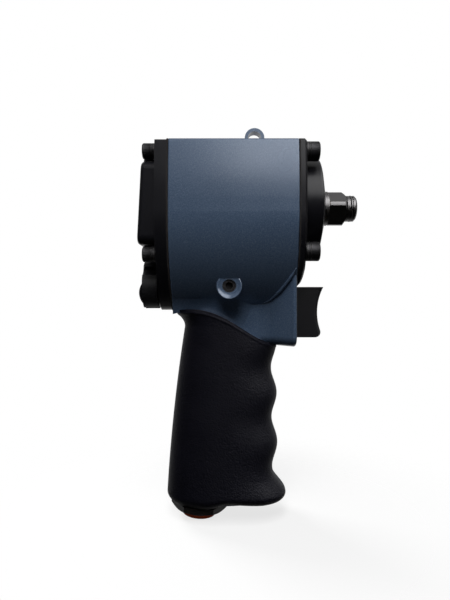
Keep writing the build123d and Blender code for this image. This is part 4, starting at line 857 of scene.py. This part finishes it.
# Studio: a pale floor that fades out, a key light high in front, one for the far side, and a room to mirror
studio = {
    "floorRadius": 0.16, "floorSegments": 96, "floorFade": (0.9, 0.25),
    "floorTone": (0.2, 0.2, 0.2), "floorRoughness": 0.9, "floorGlow": 0.76,
    "aim": (-0.045, 0.0, -0.04),
    "key": {"place": (-0.09, -0.48, 0.59), "size": (0.30, 0.56), "power": 6.5},
    "back": {"place": (-0.45, 0.35, 0.30), "size": (0.3, 0.3), "power": 3.8},
    "ambient": 0.035, "bounce": 0.035, "below": (0.2, -0.3),
    "glow": {"behind": (0.15, 0.95), "height": (0.4, 0.1), "brightness": 0.7},
    "backdrop": (  # height of a mirrored ray, from 0 to 1, and its brightness
        (0.35, 0.01), (0.50, 0.02), (0.62, 0.08), (0.85, 0.5),
    ),
    "window": {
        "side": (-0.06, 0.08), "height": (0.24, 0.40), "top": (0.97, 0.85), "ahead": (0.1, -0.1),
        "leastForward": 0.05, "brightness": 4.7,
    },
}


def placeSoftBox(name, setup, aim):
    data = bpy.data.lights.new(name, "AREA")
    data.shape = "RECTANGLE"
    data.size, data.size_y = setup["size"]
    data.energy = setup["power"]
    lamp = bpy.data.objects.new(name, data)
    lamp.visible_glossy = False  # surfaces mirror the room's window instead
    lamp.location = setup["place"]
    lamp.rotation_euler = (Vector(aim) - Vector(setup["place"])).to_track_quat("-Z", "Y").to_euler()
    bpy.context.scene.collection.objects.link(lamp)


def softStep(tree, value, start, end):
    step = addNode(tree, "ShaderNodeMapRange", interpolation_type="SMOOTHSTEP")
    tree.links.new(value, step.inputs["Value"])
    step.inputs["From Min"].default_value = start
    step.inputs["From Max"].default_value = end
    return step.outputs["Result"]


def addLight(tree, base, mask, brightness):
    light = addNode(tree, "ShaderNodeVectorMath", operation="MULTIPLY_ADD")
    tree.links.new(mask, light.inputs[0])
    light.inputs[1].default_value = (brightness,) * 3
    tree.links.new(base, light.inputs[2])
    return light.outputs[0]


def buildWorld(setup):
    world = bpy.data.worlds.new("studioWorld")
    world.use_nodes = True
    tree = world.node_tree
    tree.nodes.clear()
    rays = addNode(tree, "ShaderNodeLightPath").outputs
    direction = addNode(tree, "ShaderNodeTexCoord").outputs["Generated"]
    parts = addNode(tree, "ShaderNodeSeparateXYZ")
    tree.links.new(direction, parts.inputs[0])
    ramp = addNode(tree, "ShaderNodeValToRGB")
    tree.links.new(mathNode(tree, "MULTIPLY_ADD", parts.outputs["Z"], 0.5, 0.5), ramp.inputs[0])
    elements = ramp.color_ramp.elements
    while len(elements) < len(setup["backdrop"]):
        elements.new(0.5)
    for element, (position, level) in zip(elements, setup["backdrop"]):
        element.position = position
        element.color = (level, level, level, 1)
    window = setup["window"]
    forward = mathNode(tree, "MULTIPLY", parts.outputs["Y"], -1.0)
    forward = mathNode(tree, "MAXIMUM", forward, window["leastForward"])
    pane = softStep(tree, mathNode(tree, "DIVIDE", parts.outputs["X"], forward), *window["side"])
    for axis, limits in (("Z", "height"), ("Z", "top"), ("Y", "ahead")):
        pane = mathNode(tree, "MULTIPLY", pane, softStep(tree, parts.outputs[axis], *window[limits]))
    room = addLight(tree, ramp.outputs["Color"], pane, window["brightness"])
    glow = setup["glow"]
    behind = softStep(tree, parts.outputs["Y"], *glow["behind"])
    low = softStep(tree, parts.outputs["Z"], *glow["height"])
    room = addLight(tree, room, mathNode(tree, "MULTIPLY", behind, low), glow["brightness"])
    mirrored = mathNode(tree, "MAXIMUM", rays["Is Glossy Ray"], rays["Is Transmission Ray"])
    below = softStep(tree, parts.outputs["Z"], *setup["below"])
    ambient = mathNode(tree, "MULTIPLY_ADD", below, setup["bounce"], setup["ambient"])
    colour = mixColours(tree, mirrored, ambient, room)
    colour = mixColours(tree, rays["Is Camera Ray"], colour, (1.0, 1.0, 1.0))
    background = addNode(tree, "ShaderNodeBackground")
    tree.links.new(colour, background.inputs["Color"])
    output = addNode(tree, "ShaderNodeOutputWorld")
    tree.links.new(background.outputs[0], output.inputs["Surface"])
    bpy.context.scene.world = world


def buildFloor(setup):
    mesh = bpy.data.meshes.new("paleFloor")
    builder = bmesh.new()
    radius = setup["floorRadius"]
    bmesh.ops.create_circle(builder, cap_ends=True, segments=setup["floorSegments"], radius=radius)
    builder.to_mesh(mesh)
    builder.free()
    floor = bpy.data.objects.new("paleFloor", mesh)
    lowest, highest = cadBox
    floor.location = ((lowest[0] + highest[0]) / 2, 0, lowest[2])
    bpy.context.scene.collection.objects.link(floor)
    material = bpy.data.materials.new("paleFloor")
    material.use_nodes = True
    tree = material.node_tree
    shader = tree.nodes["Principled BSDF"]
    shader.inputs["Base Color"].default_value = (*setup["floorTone"], 1)
    shader.inputs["Roughness"].default_value = setup["floorRoughness"]
    shader.inputs["Specular IOR Level"].default_value = 0.0
    shader.inputs["Emission Color"].default_value = (1, 1, 1, 1)
    shader.inputs["Emission Strength"].default_value = setup["floorGlow"]
    place = addNode(tree, "ShaderNodeTexCoord").outputs["Object"]
    reach = addNode(tree, "ShaderNodeVectorMath", operation="LENGTH")
    tree.links.new(place, reach.inputs[0])
    fade = softStep(tree, reach.outputs["Value"], *(radius * share for share in setup["floorFade"]))
    seen = addNode(tree, "ShaderNodeLightPath").outputs["Is Camera Ray"]
    tree.links.new(mathNode(tree, "MULTIPLY", fade, seen), shader.inputs["Alpha"])
    mesh.materials.append(material)


placeSoftBox("keyBox", studio["key"], studio["aim"])
placeSoftBox("backBox", studio["back"], studio["aim"])
buildWorld(studio)
buildFloor(studio)
print("studio lit")
